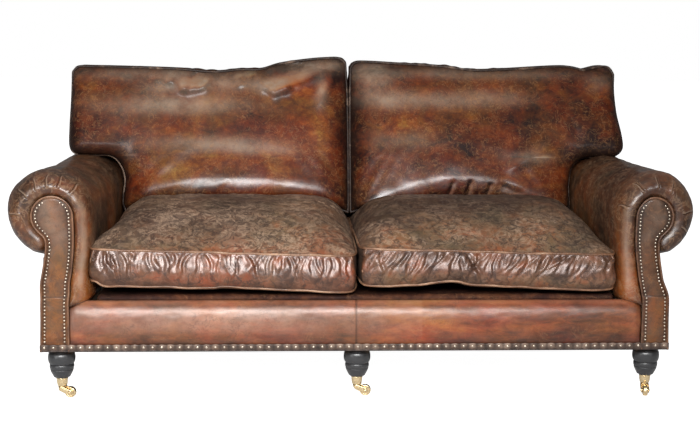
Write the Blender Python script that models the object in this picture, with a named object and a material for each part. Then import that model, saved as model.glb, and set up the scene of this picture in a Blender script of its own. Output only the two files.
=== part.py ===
"""Scroll-arm leather sofa for two or three people, on turned front legs with brass castors.

Metres, +Z up, +X to the sitter's left (the viewer's right), -Y to the front. The origin is
on the floor under the middle of the sofa. "left" and "right" in names are the viewer's.
"""
import math

import bmesh
import bpy
from mathutils import Vector

# ---- driving dimensions -------------------------------------------------------------
WIDTH = 2.136            # across the two arm rolls
DEPTH = 0.990            # trim band at the front to the top of the raked back
BASE_Z = 0.158           # underside of the upholstered base
RAIL_Z = 0.160           # underside of the seat timbers
RAIL_TOP = 0.285         # top of the seat timbers
DECK_TOP = 0.330         # top of the padded deck under the seat cushions
ARM_TOP = 0.715
ROLL_RADIUS = 0.132      # of the arm roll
BACK_RAKE = math.radians(4.0)
BACK_HEIGHT = 0.717      # of the upholstered back, along its own slope
BACK_THICK = 0.115
PANEL_TOP = 0.700        # of the outside back, along the same slope
PANEL_BEVEL = 0.004
GAP = 0.0005             # clearance left between pieces that touch
CUT_GAP = 0.0006         # clearance of a pocket around the timber in it

FRONT = -DEPTH / 2
FACE = FRONT + 0.003     # front of the arm facings; the trim band stands proud of it
ROLL_X = WIDTH / 2 - ROLL_RADIUS
ROLL_Z = ARM_TOP - ROLL_RADIUS
BACK_Y = (DEPTH / 2 - BACK_THICK * math.cos(BACK_RAKE)
          - (PANEL_TOP - PANEL_BEVEL) * math.sin(BACK_RAKE))
BACK_Z = 0.168
LEG_X = 0.9225
LEG_Y = FACE + 0.0585

# Arm facing, a keyhole shape seen from the front (right-hand arm).
HEAD_X, HEAD_Z, HEAD_RADIUS = 0.9205, 0.5775, 0.0615
HEAD_START = math.radians(-42)      # where the neck runs into the round head
FACING_THICK = 0.016
POST_THICK = 0.060
BOLSTER_DEPTH = 0.070               # how far back the padded front edge of the arm reaches

# Castors: brass cup on the leg, horn that swivels in it, wheel on a riveted axle.
WHEEL_RADIUS = 0.0175
WHEEL_WIDTH = 0.0150
TRAIL = 0.0270                      # swivel axis to axle
AXLE_RADIUS, AXLE_BORE = 0.00290, 0.00300
PIN_RADIUS, PIN_BORE = 0.00300, 0.00310
CUP_TOP, CUP_BOTTOM = 0.0640, 0.0365
CASTOR_HEADINGS = {"left": -14.0, "centre": -6.0, "right": -100.0}   # degrees from +X
LEG_PLACES = {"left": -LEG_X, "centre": 0.0, "right": LEG_X}

SPRING_WIRE = 0.0020                # radius
SPRING_PLACES = (-0.68, -0.41, -0.15, 0.15, 0.41, 0.68)

MATERIALS = {
    "arm_leather": ((0.150, 0.070, 0.035), 0.38, 0.0),
    "facing_leather": ((0.210, 0.105, 0.055), 0.42, 0.0),
    "back_leather": ((0.180, 0.055, 0.028), 0.33, 0.0),
    "seat_leather": ((0.120, 0.085, 0.055), 0.48, 0.0),
    "border_leather": ((0.260, 0.120, 0.080), 0.35, 0.0),
    "trim_leather": ((0.090, 0.060, 0.045), 0.50, 0.0),
    "beech": ((0.560, 0.380, 0.220), 0.65, 0.0),
    "ebonised_wood": ((0.020, 0.020, 0.021), 0.35, 0.0),
    "brass": ((0.720, 0.520, 0.230), 0.30, 1.0),
    "spring_steel": ((0.300, 0.300, 0.310), 0.40, 1.0),
    "black_cloth": ((0.030, 0.030, 0.030), 0.90, 0.0),
}


# ---- helpers ------------------------------------------------------------------------
def material(name):
    """The Principled material of that name, made once."""
    found = bpy.data.materials.get(name)
    if found:
        return found
    colour, roughness, metallic = MATERIALS[name]
    made = bpy.data.materials.new(name)
    made.use_nodes = True
    shader = made.node_tree.nodes["Principled BSDF"]
    shader.inputs["Base Color"].default_value = (*colour, 1.0)
    shader.inputs["Roughness"].default_value = roughness
    shader.inputs["Metallic"].default_value = metallic
    return made


def add(name, bm, finish, parent=None, smooth=False, at=(0, 0, 0)):
    """Turns a bmesh into a named object with its material, faces outwards."""
    bmesh.ops.recalc_face_normals(bm, faces=bm.faces)
    mesh = bpy.data.meshes.new(name)
    bm.to_mesh(mesh)
    bm.free()
    if smooth:
        mesh.shade_smooth()
        mesh.set_sharp_from_angle(angle=math.radians(40))
    mesh.materials.append(material(finish))
    obj = bpy.data.objects.new(name, mesh)
    bpy.context.scene.collection.objects.link(obj)
    obj.location = at
    obj.parent = parent
    return obj


def cutter(bm, name, parent=None, at=(0, 0, 0)):
    """A helper solid for a Boolean: never shown."""
    obj = add(name, bm, "beech", parent, at=at)
    obj.hide_render = True
    obj.display_type = "WIRE"
    return obj


def boolean(obj, tool, operation="DIFFERENCE"):
    modifier = obj.modifiers.new(tool.name, "BOOLEAN")
    modifier.object = tool
    modifier.operation = operation


def block(low, high, bevel=0.0, segments=1):
    """A box between two corners, with its edges rounded if asked."""
    bm = bmesh.new()
    size = Vector(high) - Vector(low)
    bmesh.ops.create_cube(bm, size=1.0)
    bmesh.ops.scale(bm, vec=size, verts=bm.verts)
    bmesh.ops.translate(bm, vec=(Vector(high) + Vector(low)) / 2, verts=bm.verts)
    if bevel:
        bmesh.ops.bevel(bm, geom=bm.edges[:], offset=bevel, segments=segments,
                        affect="EDGES", profile=0.5)
    return bm


def prism(outline, direction):
    """A closed outline of 3-D points pushed along a direction."""
    bm = bmesh.new()
    face = bm.faces.new([bm.verts.new(p) for p in outline])
    pushed = bmesh.ops.extrude_face_region(bm, geom=[face])
    moved = [v for v in pushed["geom"] if isinstance(v, bmesh.types.BMVert)]
    bmesh.ops.translate(bm, vec=direction, verts=moved)
    return bm


def turned(profile, steps=24):
    """A profile of (radius, height) points, from axis to axis or closed, spun about Z."""
    bm = bmesh.new()
    verts = [bm.verts.new((r, 0, z)) for r, z in profile]
    edges = [bm.edges.new(pair) for pair in zip(verts, verts[1:])]
    if profile[0][0] > 0:
        edges.append(bm.edges.new((verts[-1], verts[0])))
    bmesh.ops.spin(bm, geom=verts + edges, cent=(0, 0, 0), axis=(0, 0, 1),
                   angle=math.tau, steps=steps, use_merge=True)
    bmesh.ops.remove_doubles(bm, verts=bm.verts, dist=1e-6)
    return bm


def loft(rings):
    """Rings of equally many points joined by quads and closed at both ends."""
    bm = bmesh.new()
    loops = [[bm.verts.new(p) for p in ring] for ring in rings]
    for a, b in zip(loops, loops[1:]):
        for i in range(len(a)):
            j = (i + 1) % len(a)
            bm.faces.new((a[i], a[j], b[j], b[i]))
    bm.faces.new(loops[0])
    bm.faces.new(loops[-1])
    return bm


def arc(cx, cz, radius, start, end, steps):
    """Points of a circular arc, both ends included."""
    turn = (end - start) / steps
    return [(cx + radius * math.cos(start + i * turn),
             cz + radius * math.sin(start + i * turn)) for i in range(steps + 1)]


def bezier(p0, p1, p2, p3, steps):
    """Points of a cubic curve, both ends included."""
    points = []
    for i in range(steps + 1):
        t = i / steps
        w = ((1 - t) ** 3, 3 * t * (1 - t) ** 2, 3 * t * t * (1 - t), t ** 3)
        points.append(tuple(sum(k * p[n] for k, p in zip(w, (p0, p1, p2, p3)))
                            for n in (0, 1)))
    return points


def lerp(a, b, t):
    return tuple(u + (v - u) * t for u, v in zip(a, b))


def back_plane(z):
    """World y of the front of the raked back at a height."""
    return BACK_Y + (z - BACK_Z) * math.tan(BACK_RAKE)


# ---- outlines -----------------------------------------------------------------------
def bolster_inner():
    """Facing edge that the padded border follows: outer neck, round head, inner side."""
    neck = bezier((0.9500, 0.4525), (0.9400, 0.4700), (0.9300, 0.5050), (0.9662, 0.5364), 5)
    head = arc(HEAD_X, HEAD_Z, HEAD_RADIUS, HEAD_START, math.pi, 12)
    inside = bezier((0.8590, 0.5775), (0.8570, 0.5000), (0.8720, 0.4000), (0.8870, 0.3180), 6)
    return neck[:-1] + head + inside[1:]


def bolster_outer():
    """The arm's own surface: under the roll, round it and down its inner face."""
    start, knee = math.radians(-82.6), math.radians(-42)
    under = arc(ROLL_X, ROLL_Z, ROLL_RADIUS, start, knee, 5)
    over = arc(ROLL_X, ROLL_Z, ROLL_RADIUS, knee, math.pi, 12)
    inside = bezier((ROLL_X - ROLL_RADIUS, ROLL_Z), (0.8045, 0.5000), (0.8120, 0.4000),
                    (0.8220, 0.3180), 6)
    return under[:-1] + over + inside[1:]


def facing_outline():
    """Whole keyhole facing, from its outer bottom corner round to the inner one."""
    outer = [(0.9740, BASE_Z), (0.9680, 0.3300)]
    waist = bezier((0.9680, 0.3300), (0.9550, 0.3850), (0.9440, 0.4350), (0.9400, 0.4900), 4)
    neck = bezier((0.9400, 0.4900), (0.9385, 0.5150), (0.9500, 0.5230), (0.9662, 0.5364), 4)
    head = arc(HEAD_X, HEAD_Z, HEAD_RADIUS, HEAD_START, math.pi, 12)
    inside = bezier((0.8590, 0.5775), (0.8570, 0.5000), (0.8720, 0.4000), (0.8880, 0.3300), 6)
    return outer + waist[1:] + neck[1:-1] + head + inside[1:] + [(0.8895, BASE_Z)]


def post_outline(grow=0.0):
    """Front post behind the facing, smaller all round; grow makes its pocket."""
    radius = HEAD_RADIUS - 0.0085 + grow
    head = arc(HEAD_X, HEAD_Z, radius, math.radians(-55), math.pi, 10)
    inside = bezier(head[-1], (0.8660 - grow, 0.5000), (0.8790 - grow, 0.4000),
                    (0.8935 - grow, 0.3300), 5)
    outer = [(0.9480 + grow, RAIL_Z - grow), (0.9480 + grow, 0.3000),
             (0.9310 + grow, 0.4000), (0.9290 + grow, 0.5000)]
    return outer + head + inside[1:] + [(0.8935 - grow, RAIL_Z - grow)]


def outside_arm_outline():
    """Panel that closes the outer side of the arm below the roll."""
    outer = bezier((0.9680, 0.3250), (0.9600, 0.3650), (0.9540, 0.4100), (0.9520, 0.4505), 4)
    inner = bezier((0.9345, 0.4505), (0.9360, 0.4100), (0.9430, 0.3650), (0.9500, 0.3250), 4)
    return [(0.9720, BASE_Z)] + outer + inner + [(0.9530, BASE_Z)]


def sided(points, side, y):
    """2-D (x, z) points as 3-D ones at depth y, on the right (+1) or left (-1)."""
    return [(side * x, y, z) for x, z in points]


# ---- timber frame -------------------------------------------------------------------
def timber(name, low, high, parent=None):
    return add(name, block(low, high), "beech", parent)


def dowel_hole(owner, x):
    """Blind hole in the underside for the spigot of a front leg."""
    bm = turned([(0, RAIL_Z - 0.010), (0.0088, RAIL_Z - 0.010), (0.0088, RAIL_Z + 0.034),
                 (0, RAIL_Z + 0.034)], 16)
    boolean(owner, cutter(bm, owner.name + "_hole_cutter", at=(x, LEG_Y, 0)))


def make_seat_frame():
    rail_back_of_front = FACE + 0.0795
    rail = timber("front_rail", (-0.8925, FACE + 0.0375, RAIL_Z),
                  (0.8925, rail_back_of_front, RAIL_TOP))
    dowel_hole(rail, 0.0)
    timber("centre_cross_rail", (-0.030, rail_back_of_front + GAP, RAIL_Z),
           (0.030, BACK_Y + 0.0365, 0.250))
    for word, side in (("left", -1), ("right", 1)):
        near, far = sorted((side * 0.8935, side * 0.9480))
        timber(word + "_side_rail", (near, FACE + 0.0775, RAIL_Z),
               (far, BACK_Y + 0.0365, RAIL_TOP))
        post_back = Vector((0, POST_THICK, 0))
        start = FACE + FACING_THICK + GAP
        post = add(word + "_front_post", prism(sided(post_outline(), side, start), post_back),
                   "beech")
        dowel_hole(post, side * LEG_X)
        near, far = sorted((side * 0.8690, side * 0.9290))
        timber(word + "_arm_rail", (near, FACE + 0.0775, 0.5000),
               (far, back_plane(0.500) - 0.002, 0.5585))
        timber(word + "_rear_stump", (near, 0.270, RAIL_TOP + GAP), (far, 0.315, 0.5000 - GAP))


def make_springs():
    """Zigzag seat springs from the front rail to the back rail, arched a little upwards."""
    first, last = FACE + 0.060, BACK_Y + 0.072
    half_turns, points_each = 18, 3
    count = half_turns * points_each
    for number, x in enumerate(SPRING_PLACES, 1):
        curve = bpy.data.curves.new(f"seat_spring_{number}", "CURVE")
        curve.dimensions = "3D"
        curve.bevel_depth = SPRING_WIRE
        curve.bevel_resolution = 1
        curve.use_fill_caps = True
        spline = curve.splines.new("POLY")
        spline.points.add(count)
        for i, point in enumerate(spline.points):
            share = i / count
            sway = 0.024 * math.sin(math.pi * half_turns * share)
            rise = 0.009 * math.sin(math.pi * share)
            point.co = (x + sway, first + (last - first) * share,
                        RAIL_TOP + SPRING_WIRE + 0.0008 + rise, 1.0)
        curve.materials.append(material("spring_steel"))
        obj = bpy.data.objects.new(curve.name, curve)
        bpy.context.scene.collection.objects.link(obj)


def make_back(tilt):
    """Everything that leans with the back; coordinates are relative to the tilt empty."""
    low, high = 0.0375, 0.0965       # front and back of the timbers
    post_x = (0.8700, 0.9300)
    for word, side in (("left", -1), ("right", 1)):
        near, far = sorted((side * post_x[0], side * post_x[1]))
        timber(word + "_back_post", (near, low, 0.002), (far, high, 0.685), tilt)
    inner = post_x[0] - GAP
    timber("back_seat_rail", (-inner, low, 0.002), (inner, high, 0.117), tilt)
    timber("back_tack_rail", (-inner, low, 0.142), (inner, high, 0.190), tilt)
    timber("back_top_rail", (-inner, low, 0.625), (inner, high, 0.685), tilt)
    timber("centre_back_post", (-0.025, low, 0.190 + GAP), (0.025, high, 0.625 - GAP), tilt)

    half = 0.965
    pad_back = BACK_THICK - 0.0165
    pad = add("inside_back", block((-half, 0, 0), (half, pad_back, BACK_HEIGHT), 0.016, 2),
              "back_leather", tilt, smooth=True)
    cavity = block((-0.9315, 0.036, -0.05), (0.9315, 0.150, 0.687))
    boolean(pad, cutter(cavity, "back_cavity_cutter", tilt))
    mouth = block((-0.9490, -0.05, -0.05), (0.9490, 0.060, 0.136))
    boolean(pad, cutter(mouth, "spring_way_cutter", tilt))
    panel = block((-half, pad_back + GAP, 0), (half, BACK_THICK, PANEL_TOP), PANEL_BEVEL)
    add("outside_back", panel, "arm_leather", tilt, smooth=True)
    band = block((-half, BACK_THICK + 0.0003, 0.001), (half, BACK_THICK + 0.0028, 0.026))
    add("back_trim_band", band, "trim_leather", tilt)


# ---- upholstery ---------------------------------------------------------------------
def make_arm(word, side):
    """Arm padding under its leather: padded front edge, roll, inner face, raked rear end."""
    inner, outer = bolster_inner(), bolster_outer()
    steps = ((0.04, FACING_THICK + GAP), (0.38, 0.0030), (0.72, 0.0090), (0.94, 0.0330),
             (1.0, BOLSTER_DEPTH))
    stem = [(0.9300, 0.3180), (0.9300, 0.4520)]
    rings = []
    for number, (share, back) in enumerate(steps):
        level = FACING_THICK + GAP                       # where the ring meets the post
        level += 0.033 * min(number, 1) + 0.003 * number
        ring = []
        for i, (a, b) in enumerate(zip(inner, outer)):
            x, z = lerp(a, b, share)
            ring.append((side * x, FACE + level + (back - level) * min(i / 3, 1.0), z))
        ring += [(side * x, FACE + level, z) for x, z in stem]
        rings.append(ring)
    end = [(side * x, back_plane(z) - 0.001, z) for x, z in outer + stem]
    rings.append(end)
    arm = add(word + "_arm", loft(rings), "arm_leather", smooth=True)

    pocket = prism(sided(post_outline(CUT_GAP), side, FACE - 0.020),
                   (0, POST_THICK + FACING_THICK + GAP + CUT_GAP + 0.020, 0))
    boolean(arm, cutter(pocket, word + "_post_pocket_cutter"))
    near, far = sorted((side * 0.8680, side * 0.9600))
    slot = block((near, FACE + 0.0765, 0.250), (far, 0.500, 0.5595))
    boolean(arm, cutter(slot, word + "_arm_slot_cutter"))


def make_outside_arm(word, side):
    outline = outside_arm_outline()
    front = sided(outline, side, FACE + FACING_THICK + GAP)
    rear = [(side * x, back_plane(z) - 0.001, z) for x, z in outline]
    add(word + "_outside_arm", loft([front, rear]), "arm_leather", smooth=True)


def make_facing(word, side):
    bm = prism(sided(facing_outline(), side, FACE), (0, FACING_THICK, 0))
    rim = [e for e in bm.edges if all(abs(v.co.y - FACE) < 1e-6 for v in e.verts)]
    bmesh.ops.bevel(bm, geom=rim, offset=0.0030, segments=1, affect="EDGES", profile=0.5)
    add(word + "_arm_facing", bm, "facing_leather", smooth=True)


def make_front_border():
    """Padded leather border over the front rail, its upper edge a soft roll."""
    back, half = FACE + 0.0365, 0.8870
    round_top = arc(FACE + 0.0190, 0.2960, 0.0180, math.pi, math.pi / 2, 4)
    section = [(FACE + 0.0050, BASE_Z), (FACE + 0.0010, 0.2200)] + round_top
    section += [(back, 0.3140), (back, BASE_Z)]
    outline = [(-half, y, z) for y, z in section]
    add("front_border", prism(outline, (2 * half, 0, 0)), "border_leather", smooth=True)


def make_trim_bands():
    low, high = BASE_Z, BASE_Z + 0.026
    edge = 0.9770
    add("front_trim_band", block((-edge, FRONT, low), (edge, FACE - 0.0004, high)),
        "trim_leather")
    for word, side in (("left", -1), ("right", 1)):
        near, far = sorted((side * 0.9745, side * edge))
        add(word + "_trim_band", block((near, FACE, low), (far, BACK_Y - 0.004, high)),
            "trim_leather")


def make_deck():
    rear = back_plane(DECK_TOP) - 0.004
    pad = block((-0.8080, FACE + 0.0380, DECK_TOP - 0.0265), (0.8080, rear, DECK_TOP), 0.006)
    add("seat_deck", pad, "seat_leather", smooth=True)
    cloth = block((-0.8600, FACE + 0.110, BASE_Z + 0.0005), (0.8600, BACK_Y - 0.010, 0.1597))
    add("dust_cover", cloth, "black_cloth")


def crown(u, v):
    """How full a seat cushion is at (u, v), each from -1 to 1: 1 at its peak, 0 at its seams.

    The back cushions squash its rear, so the peak lies behind the middle, just before them.
    """
    peak = 0.35
    ahead = v < peak
    share = abs(v - peak) / (1 + peak if ahead else 1 - peak)
    return (1 - abs(u) ** 4) * (1 - share ** (2.4 if ahead else 0.95))


def make_seat_cushion(word, side):
    """Box cushion: flat border, crowned top, slightly full underside."""
    near, far = 0.0025, 0.8045
    front, rear = FACE + 0.003, back_plane(0.330) - 0.002
    seam_low, seam_high = 0.3490, 0.4660
    top_rise, under_drop = 0.1030, 0.0175
    count = 16
    cells = [-1 + 2 * i / count for i in range(count + 1)]
    bm = bmesh.new()

    def sheet(z, rise):
        rows = []
        for v in cells:
            y = front + (rear - front) * (v + 1) / 2
            line = []
            for u in cells:
                x = near + (far - near) * (u + 1) / 2
                line.append(bm.verts.new((side * x, y, z + rise * crown(u, v))))
            rows.append(line)
        for a, b in zip(rows, rows[1:]):
            for i in range(count):
                bm.faces.new((a[i], a[i + 1], b[i + 1], b[i]))
        last = count
        return ([rows[0][i] for i in range(last)] + [rows[i][last] for i in range(last)]
                + [rows[last][i] for i in range(last, 0, -1)]
                + [rows[i][0] for i in range(last, 0, -1)])

    top = sheet(seam_high, top_rise)
    under = sheet(seam_low, -under_drop)
    for i in range(len(top)):
        j = (i + 1) % len(top)
        bm.faces.new((top[i], top[j], under[j], under[i]))
    add(word + "_seat_cushion", bm, "seat_leather", smooth=True)


def make_back_cushion(word, side):
    """Pillow that thins towards its top, with an ear that lies over the arm."""
    foot, shoulder, top = 0.5350, 0.7230, 1.0200
    inner, body, ear = 0.0045, 0.8000, 1.0030
    thick_foot, thick_top = 0.1900, 0.0700

    def depth(z):
        share = (z - foot) / (top - foot)
        rear = back_plane(z) - 0.003
        return rear - (thick_foot + (thick_top - thick_foot) * share ** 1.2), rear

    heights = [foot, 0.6000, 0.6650, shoulder, 0.8000, 0.9000, top]
    upper = heights[heights.index(shoulder):]
    outline = [(inner, z) for z in reversed(heights)] + [(body, z) for z in heights[:4]]
    outline += [(ear, z) for z in upper]
    front = [(side * x, depth(z)[0], z) for x, z in outline]
    rear = [(side * x, depth(z)[1], z) for x, z in outline]
    bm = loft([front, rear])
    bmesh.ops.recalc_face_normals(bm, faces=bm.faces)
    rim = [e for e in bm.edges if e.calc_face_angle() > 1.2]
    bmesh.ops.bevel(bm, geom=rim, offset=0.022, segments=2, affect="EDGES", profile=0.5)
    add(word + "_back_cushion", bm, "back_leather", smooth=True)


# ---- legs and castors ---------------------------------------------------------------
def leg_profile():
    """Turned leg: spigot, collar, two beads, a tapering body and the seat of the cup."""
    top = BASE_Z - GAP
    spigot = [(0, RAIL_Z + 0.030), (0.0080, RAIL_Z + 0.030), (0.0080, top)]
    collar = [(0.0355, top), (0.0355, 0.1455)]
    bead_high = [(0.0395, 0.1410), (0.0418, 0.1330), (0.0422, 0.1260), (0.0405, 0.1160),
                 (0.0365, 0.1095)]
    bead_low = [(0.0360, 0.1080), (0.0374, 0.1030), (0.0372, 0.0970), (0.0355, 0.0920)]
    body = [(0.0358, 0.0900), (0.0340, 0.0830), (0.0295, 0.0740), (0.0262, 0.0680),
            (0.0235, CUP_TOP + 0.0014)]
    end = CUP_BOTTOM + 0.0036
    seat = [(0.0190, CUP_TOP + GAP), (0.0160, CUP_TOP + GAP), (0.0126, end), (0.0068, end), (0.0068, end + 0.0064),
            (0, end + 0.0064)]
    return spigot + collar + bead_high + bead_low + body + seat


def make_rear_leg(name, x):
    """Plain square leg, tapering and raked backwards."""
    rings = []
    for z, half, back in ((BASE_Z - GAP, 0.0240, 0.0), (0.0, 0.0155, 0.0360)):
        y = BACK_Y + 0.062 + back
        rings.append([(x - half, y - half, z), (x + half, y - half, z),
                      (x + half, y + half, z), (x - half, y + half, z)])
    add(name, loft(rings), "ebonised_wood")


def make_cup(name, at):
    """Turned brass ferrule with a bore in its floor for the swivel pin."""
    floor = CUP_BOTTOM + 0.0030
    profile = [(PIN_BORE, CUP_BOTTOM), (0.0142, CUP_BOTTOM), (0.0155, CUP_BOTTOM + 0.0030),
               (0.0174, CUP_TOP - 0.0060), (0.0181, CUP_TOP - 0.0050), (0.0181, CUP_TOP),
               (0.0165, CUP_TOP), (0.0131, floor), (PIN_BORE, floor)]
    add(name, turned(profile), "brass", at=at, smooth=True)


def horn_outline():
    """Side view of the horn, in (distance along the trail, height)."""
    eye = arc(TRAIL, WHEEL_RADIUS, 0.0088, math.radians(-100), math.radians(100), 8)
    return ([(-0.0085, 0.0358), (-0.0085, 0.0290), (-0.0060, 0.0215), (0.0010, 0.0160)]
            + eye + [(0.0120, 0.0290), (0.0095, 0.0358)])


def make_castor(word, x):
    """Cup on the leg, horn that swivels under it, and a wheel on an axle across the horn."""
    axis = (x, LEG_Y, 0)
    make_cup(word + "_castor_cup", axis)
    turn = bpy.data.objects.new(word + "_castor_swivel", None)
    bpy.context.scene.collection.objects.link(turn)
    turn.location = axis
    turn.rotation_euler = (0, 0, math.radians(CASTOR_HEADINGS[word]))

    cheek, slot = 0.0132, 0.0082     # half widths of the horn and of the gap for the wheel
    side_view = [(along, -cheek, z) for along, z in horn_outline()]
    horn = add(word + "_castor_horn", prism(side_view, (0, 2 * cheek, 0)), "brass", turn,
               smooth=True)
    gap = block((0.0070, -slot, -0.010), (0.060, slot, 0.060))
    boolean(horn, cutter(gap, word + "_wheel_gap_cutter", turn))
    pin_top = CUP_BOTTOM + 0.0062
    pin = turned([(0, 0.0300), (PIN_RADIUS, 0.0300), (PIN_RADIUS, CUP_BOTTOM + 0.0034),
                  (0.0048, CUP_BOTTOM + 0.0034), (0.0048, pin_top), (0, pin_top)], 24)
    boolean(horn, cutter(pin, word + "_swivel_pin_cutter", turn), "UNION")
    bore = turned([(0, -0.020), (AXLE_BORE, -0.020), (AXLE_BORE, 0.020), (0, 0.020)], 16)
    bore_tool = cutter(bore, word + "_axle_bore_cutter", turn, at=(TRAIL, 0, WHEEL_RADIUS))
    bore_tool.rotation_euler = (math.radians(90), 0, 0)
    boolean(horn, bore_tool)

    head = cheek + GAP
    axle = turned([(0, -head - 0.0010), (0.0044, -head - 0.0010), (0.0044, -head),
                   (AXLE_RADIUS, -head), (AXLE_RADIUS, head), (0.0044, head),
                   (0.0044, head + 0.0010), (0, head + 0.0010)], 16)
    axle_obj = add(word + "_castor_axle", axle, "brass", turn, smooth=True,
                   at=(TRAIL, 0, WHEEL_RADIUS))
    axle_obj.rotation_euler = (math.radians(90), 0, 0)

    steps, half = 32, WHEEL_WIDTH / 2
    rim = WHEEL_RADIUS / math.cos(math.pi / steps)     # so that a flat of the rim touches z 0
    wheel = turned([(AXLE_BORE, -half), (rim - 0.0022, -half), (rim, -half + 0.0018),
                    (rim, half - 0.0018), (rim - 0.0022, half), (AXLE_BORE, half)], steps)
    wheel_obj = add(word + "_castor_wheel", wheel, "brass", turn, smooth=True,
                    at=(TRAIL, 0, WHEEL_RADIUS))
    wheel_obj.rotation_euler = (math.radians(90), math.radians(180 / steps), 0)


# ---- build --------------------------------------------------------------------------
def main():
    for obj in list(bpy.data.objects):
        bpy.data.objects.remove(obj, do_unlink=True)

    make_seat_frame()
    make_springs()
    tilt = bpy.data.objects.new("back_tilt", None)
    bpy.context.scene.collection.objects.link(tilt)
    tilt.location = (0, BACK_Y, BACK_Z)
    tilt.rotation_euler = (-BACK_RAKE, 0, 0)
    make_back(tilt)

    make_deck()
    make_front_border()
    make_trim_bands()
    for word, side in (("left", -1), ("right", 1)):
        make_arm(word, side)
        make_outside_arm(word, side)
        make_facing(word, side)
        make_seat_cushion(word, side)
        make_back_cushion(word, side)

    for word, x in LEG_PLACES.items():
        add(word + "_front_leg", turned(leg_profile()), "ebonised_wood", at=(x, LEG_Y, 0),
            smooth=True)
        make_castor(word, x)
    for word, x in (("left", -0.9000), ("centre", 0.0), ("right", 0.9000)):
        make_rear_leg(word + "_rear_leg", x)


main()
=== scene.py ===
import math

import bmesh
import bpy
import numpy as np
from mathutils import Matrix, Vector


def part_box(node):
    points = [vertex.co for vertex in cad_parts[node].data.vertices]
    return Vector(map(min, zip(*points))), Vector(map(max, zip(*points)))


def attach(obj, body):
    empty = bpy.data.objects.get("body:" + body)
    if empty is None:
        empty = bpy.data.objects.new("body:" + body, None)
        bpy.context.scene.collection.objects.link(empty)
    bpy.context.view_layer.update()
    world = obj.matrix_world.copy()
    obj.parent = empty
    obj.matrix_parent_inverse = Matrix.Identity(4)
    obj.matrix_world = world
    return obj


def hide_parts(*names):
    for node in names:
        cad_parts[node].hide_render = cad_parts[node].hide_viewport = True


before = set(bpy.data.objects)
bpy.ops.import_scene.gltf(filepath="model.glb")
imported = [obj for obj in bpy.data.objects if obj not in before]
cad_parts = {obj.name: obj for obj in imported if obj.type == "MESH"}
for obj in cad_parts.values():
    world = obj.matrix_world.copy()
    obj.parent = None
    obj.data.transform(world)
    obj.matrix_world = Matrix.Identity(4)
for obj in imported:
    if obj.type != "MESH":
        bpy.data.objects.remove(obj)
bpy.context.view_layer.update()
print("frame loaded")

# Axes, and the faces that every piece is placed from.
axisX, axisY, axisZ = 0, 1, 2


def lowOf(node, axis):
    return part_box(node)[0][axis]


def highOf(node, axis):
    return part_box(node)[1][axis]


faceY = lowOf("left_arm_facing", axisY)       # front of the arm facings
baseZ = lowOf("front_border", axisZ)
backRake = math.radians(4.0)
backFootY = lowOf("inside_back", axisY) - 0.0008
backFootZ = 0.168


def smoothStep(x, low, high):
    # 0 below low, 1 above high, and an S-shaped cubic between them.
    t = np.clip((x - low) / (high - low), 0.0, 1.0)
    return t * t * (3.0 - 2.0 * t)


def curveThrough(points, count, closed=False):
    # A Catmull-Rom curve through the points, read again at equal steps of arc length.
    p = np.asarray(points, float)
    if closed:
        knots = np.vstack([p[-1], p, p[0], p[1]])
        spans = len(p)
    else:
        knots = np.vstack([2 * p[0] - p[1], p, 2 * p[-1] - p[-2]])
        spans = len(p) - 1
    t = np.linspace(0, spans, spans * 40 + 1)
    i = np.minimum(t.astype(int), spans - 1)
    f = (t - i)[:, None]
    a, b, c, d = knots[i], knots[i + 1], knots[i + 2], knots[i + 3]
    fine = 0.5 * (2 * b + (c - a) * f + (2 * a - 5 * b + 4 * c - d) * f ** 2
                  + (3 * b - a - 3 * c + d) * f ** 3)
    return evenly(fine, count, closed)


def lengthAlong(path):
    # How far along a path each of its points lies.
    return np.concatenate([[0], np.cumsum(np.linalg.norm(np.diff(path, axis=0), axis=1))])


def evenly(path, count, closed=False):
    # The same path with points at equal steps of arc length. A closed one leaves its last out.
    length = lengthAlong(path)
    at = np.linspace(0, length[-1], count + 1 if closed else count)
    if closed:
        at = at[:-1]
    return np.stack([np.interp(at, length, path[:, k]) for k in range(path.shape[1])], 1)


def dabs(x, z, places, squash):
    # The sum of soft dabs of (middle, size, amount): bell shapes, made flatter by the squash.
    return sum(amount * np.exp(-((x - px) ** 2 + squash * (z - pz) ** 2) / size ** 2)
               for px, pz, size, amount in places)


def streaks(x, z, places):
    # Bell shapes of (middle, half width, half height, amount), each on its own.
    return [amount * np.exp(-((x - px) / wide) ** 2 - ((z - pz) / tall) ** 2)
            for px, pz, wide, tall, amount in places]


def arcPath(centre, radius, start, end, count):
    # Points of a circle about centre, from one angle in degrees to another.
    turn = np.radians(np.linspace(start, end, count))
    return np.stack([centre[0] + radius * np.cos(turn), centre[1] + radius * np.sin(turn)], 1)


def waves(points, length, seed, count=20):
    # The sum of many plane waves of about one length, in random directions: about -2 to 2.
    rng = np.random.default_rng(seed)
    way = rng.normal(size=(count, points.shape[-1]))
    way /= np.linalg.norm(way, axis=1)[:, None]
    way *= (2 * np.pi / length * rng.uniform(0.6, 1.5, count))[:, None]
    return np.cos(points @ way.T + rng.uniform(0, 2 * np.pi, count)).sum(-1) * math.sqrt(2 / count)


def gridNormals(grid, wrapU=False, wrapV=False):
    # Cross product of the two central differences of a grid of points.
    def across(axis, wrap):
        if wrap:
            return np.roll(grid, -1, axis) - np.roll(grid, 1, axis)
        return np.gradient(grid, axis=axis)
    n = np.cross(across(0, wrapU), across(1, wrapV))
    return n / np.maximum(np.linalg.norm(n, axis=-1), 1e-12)[..., None]


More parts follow.
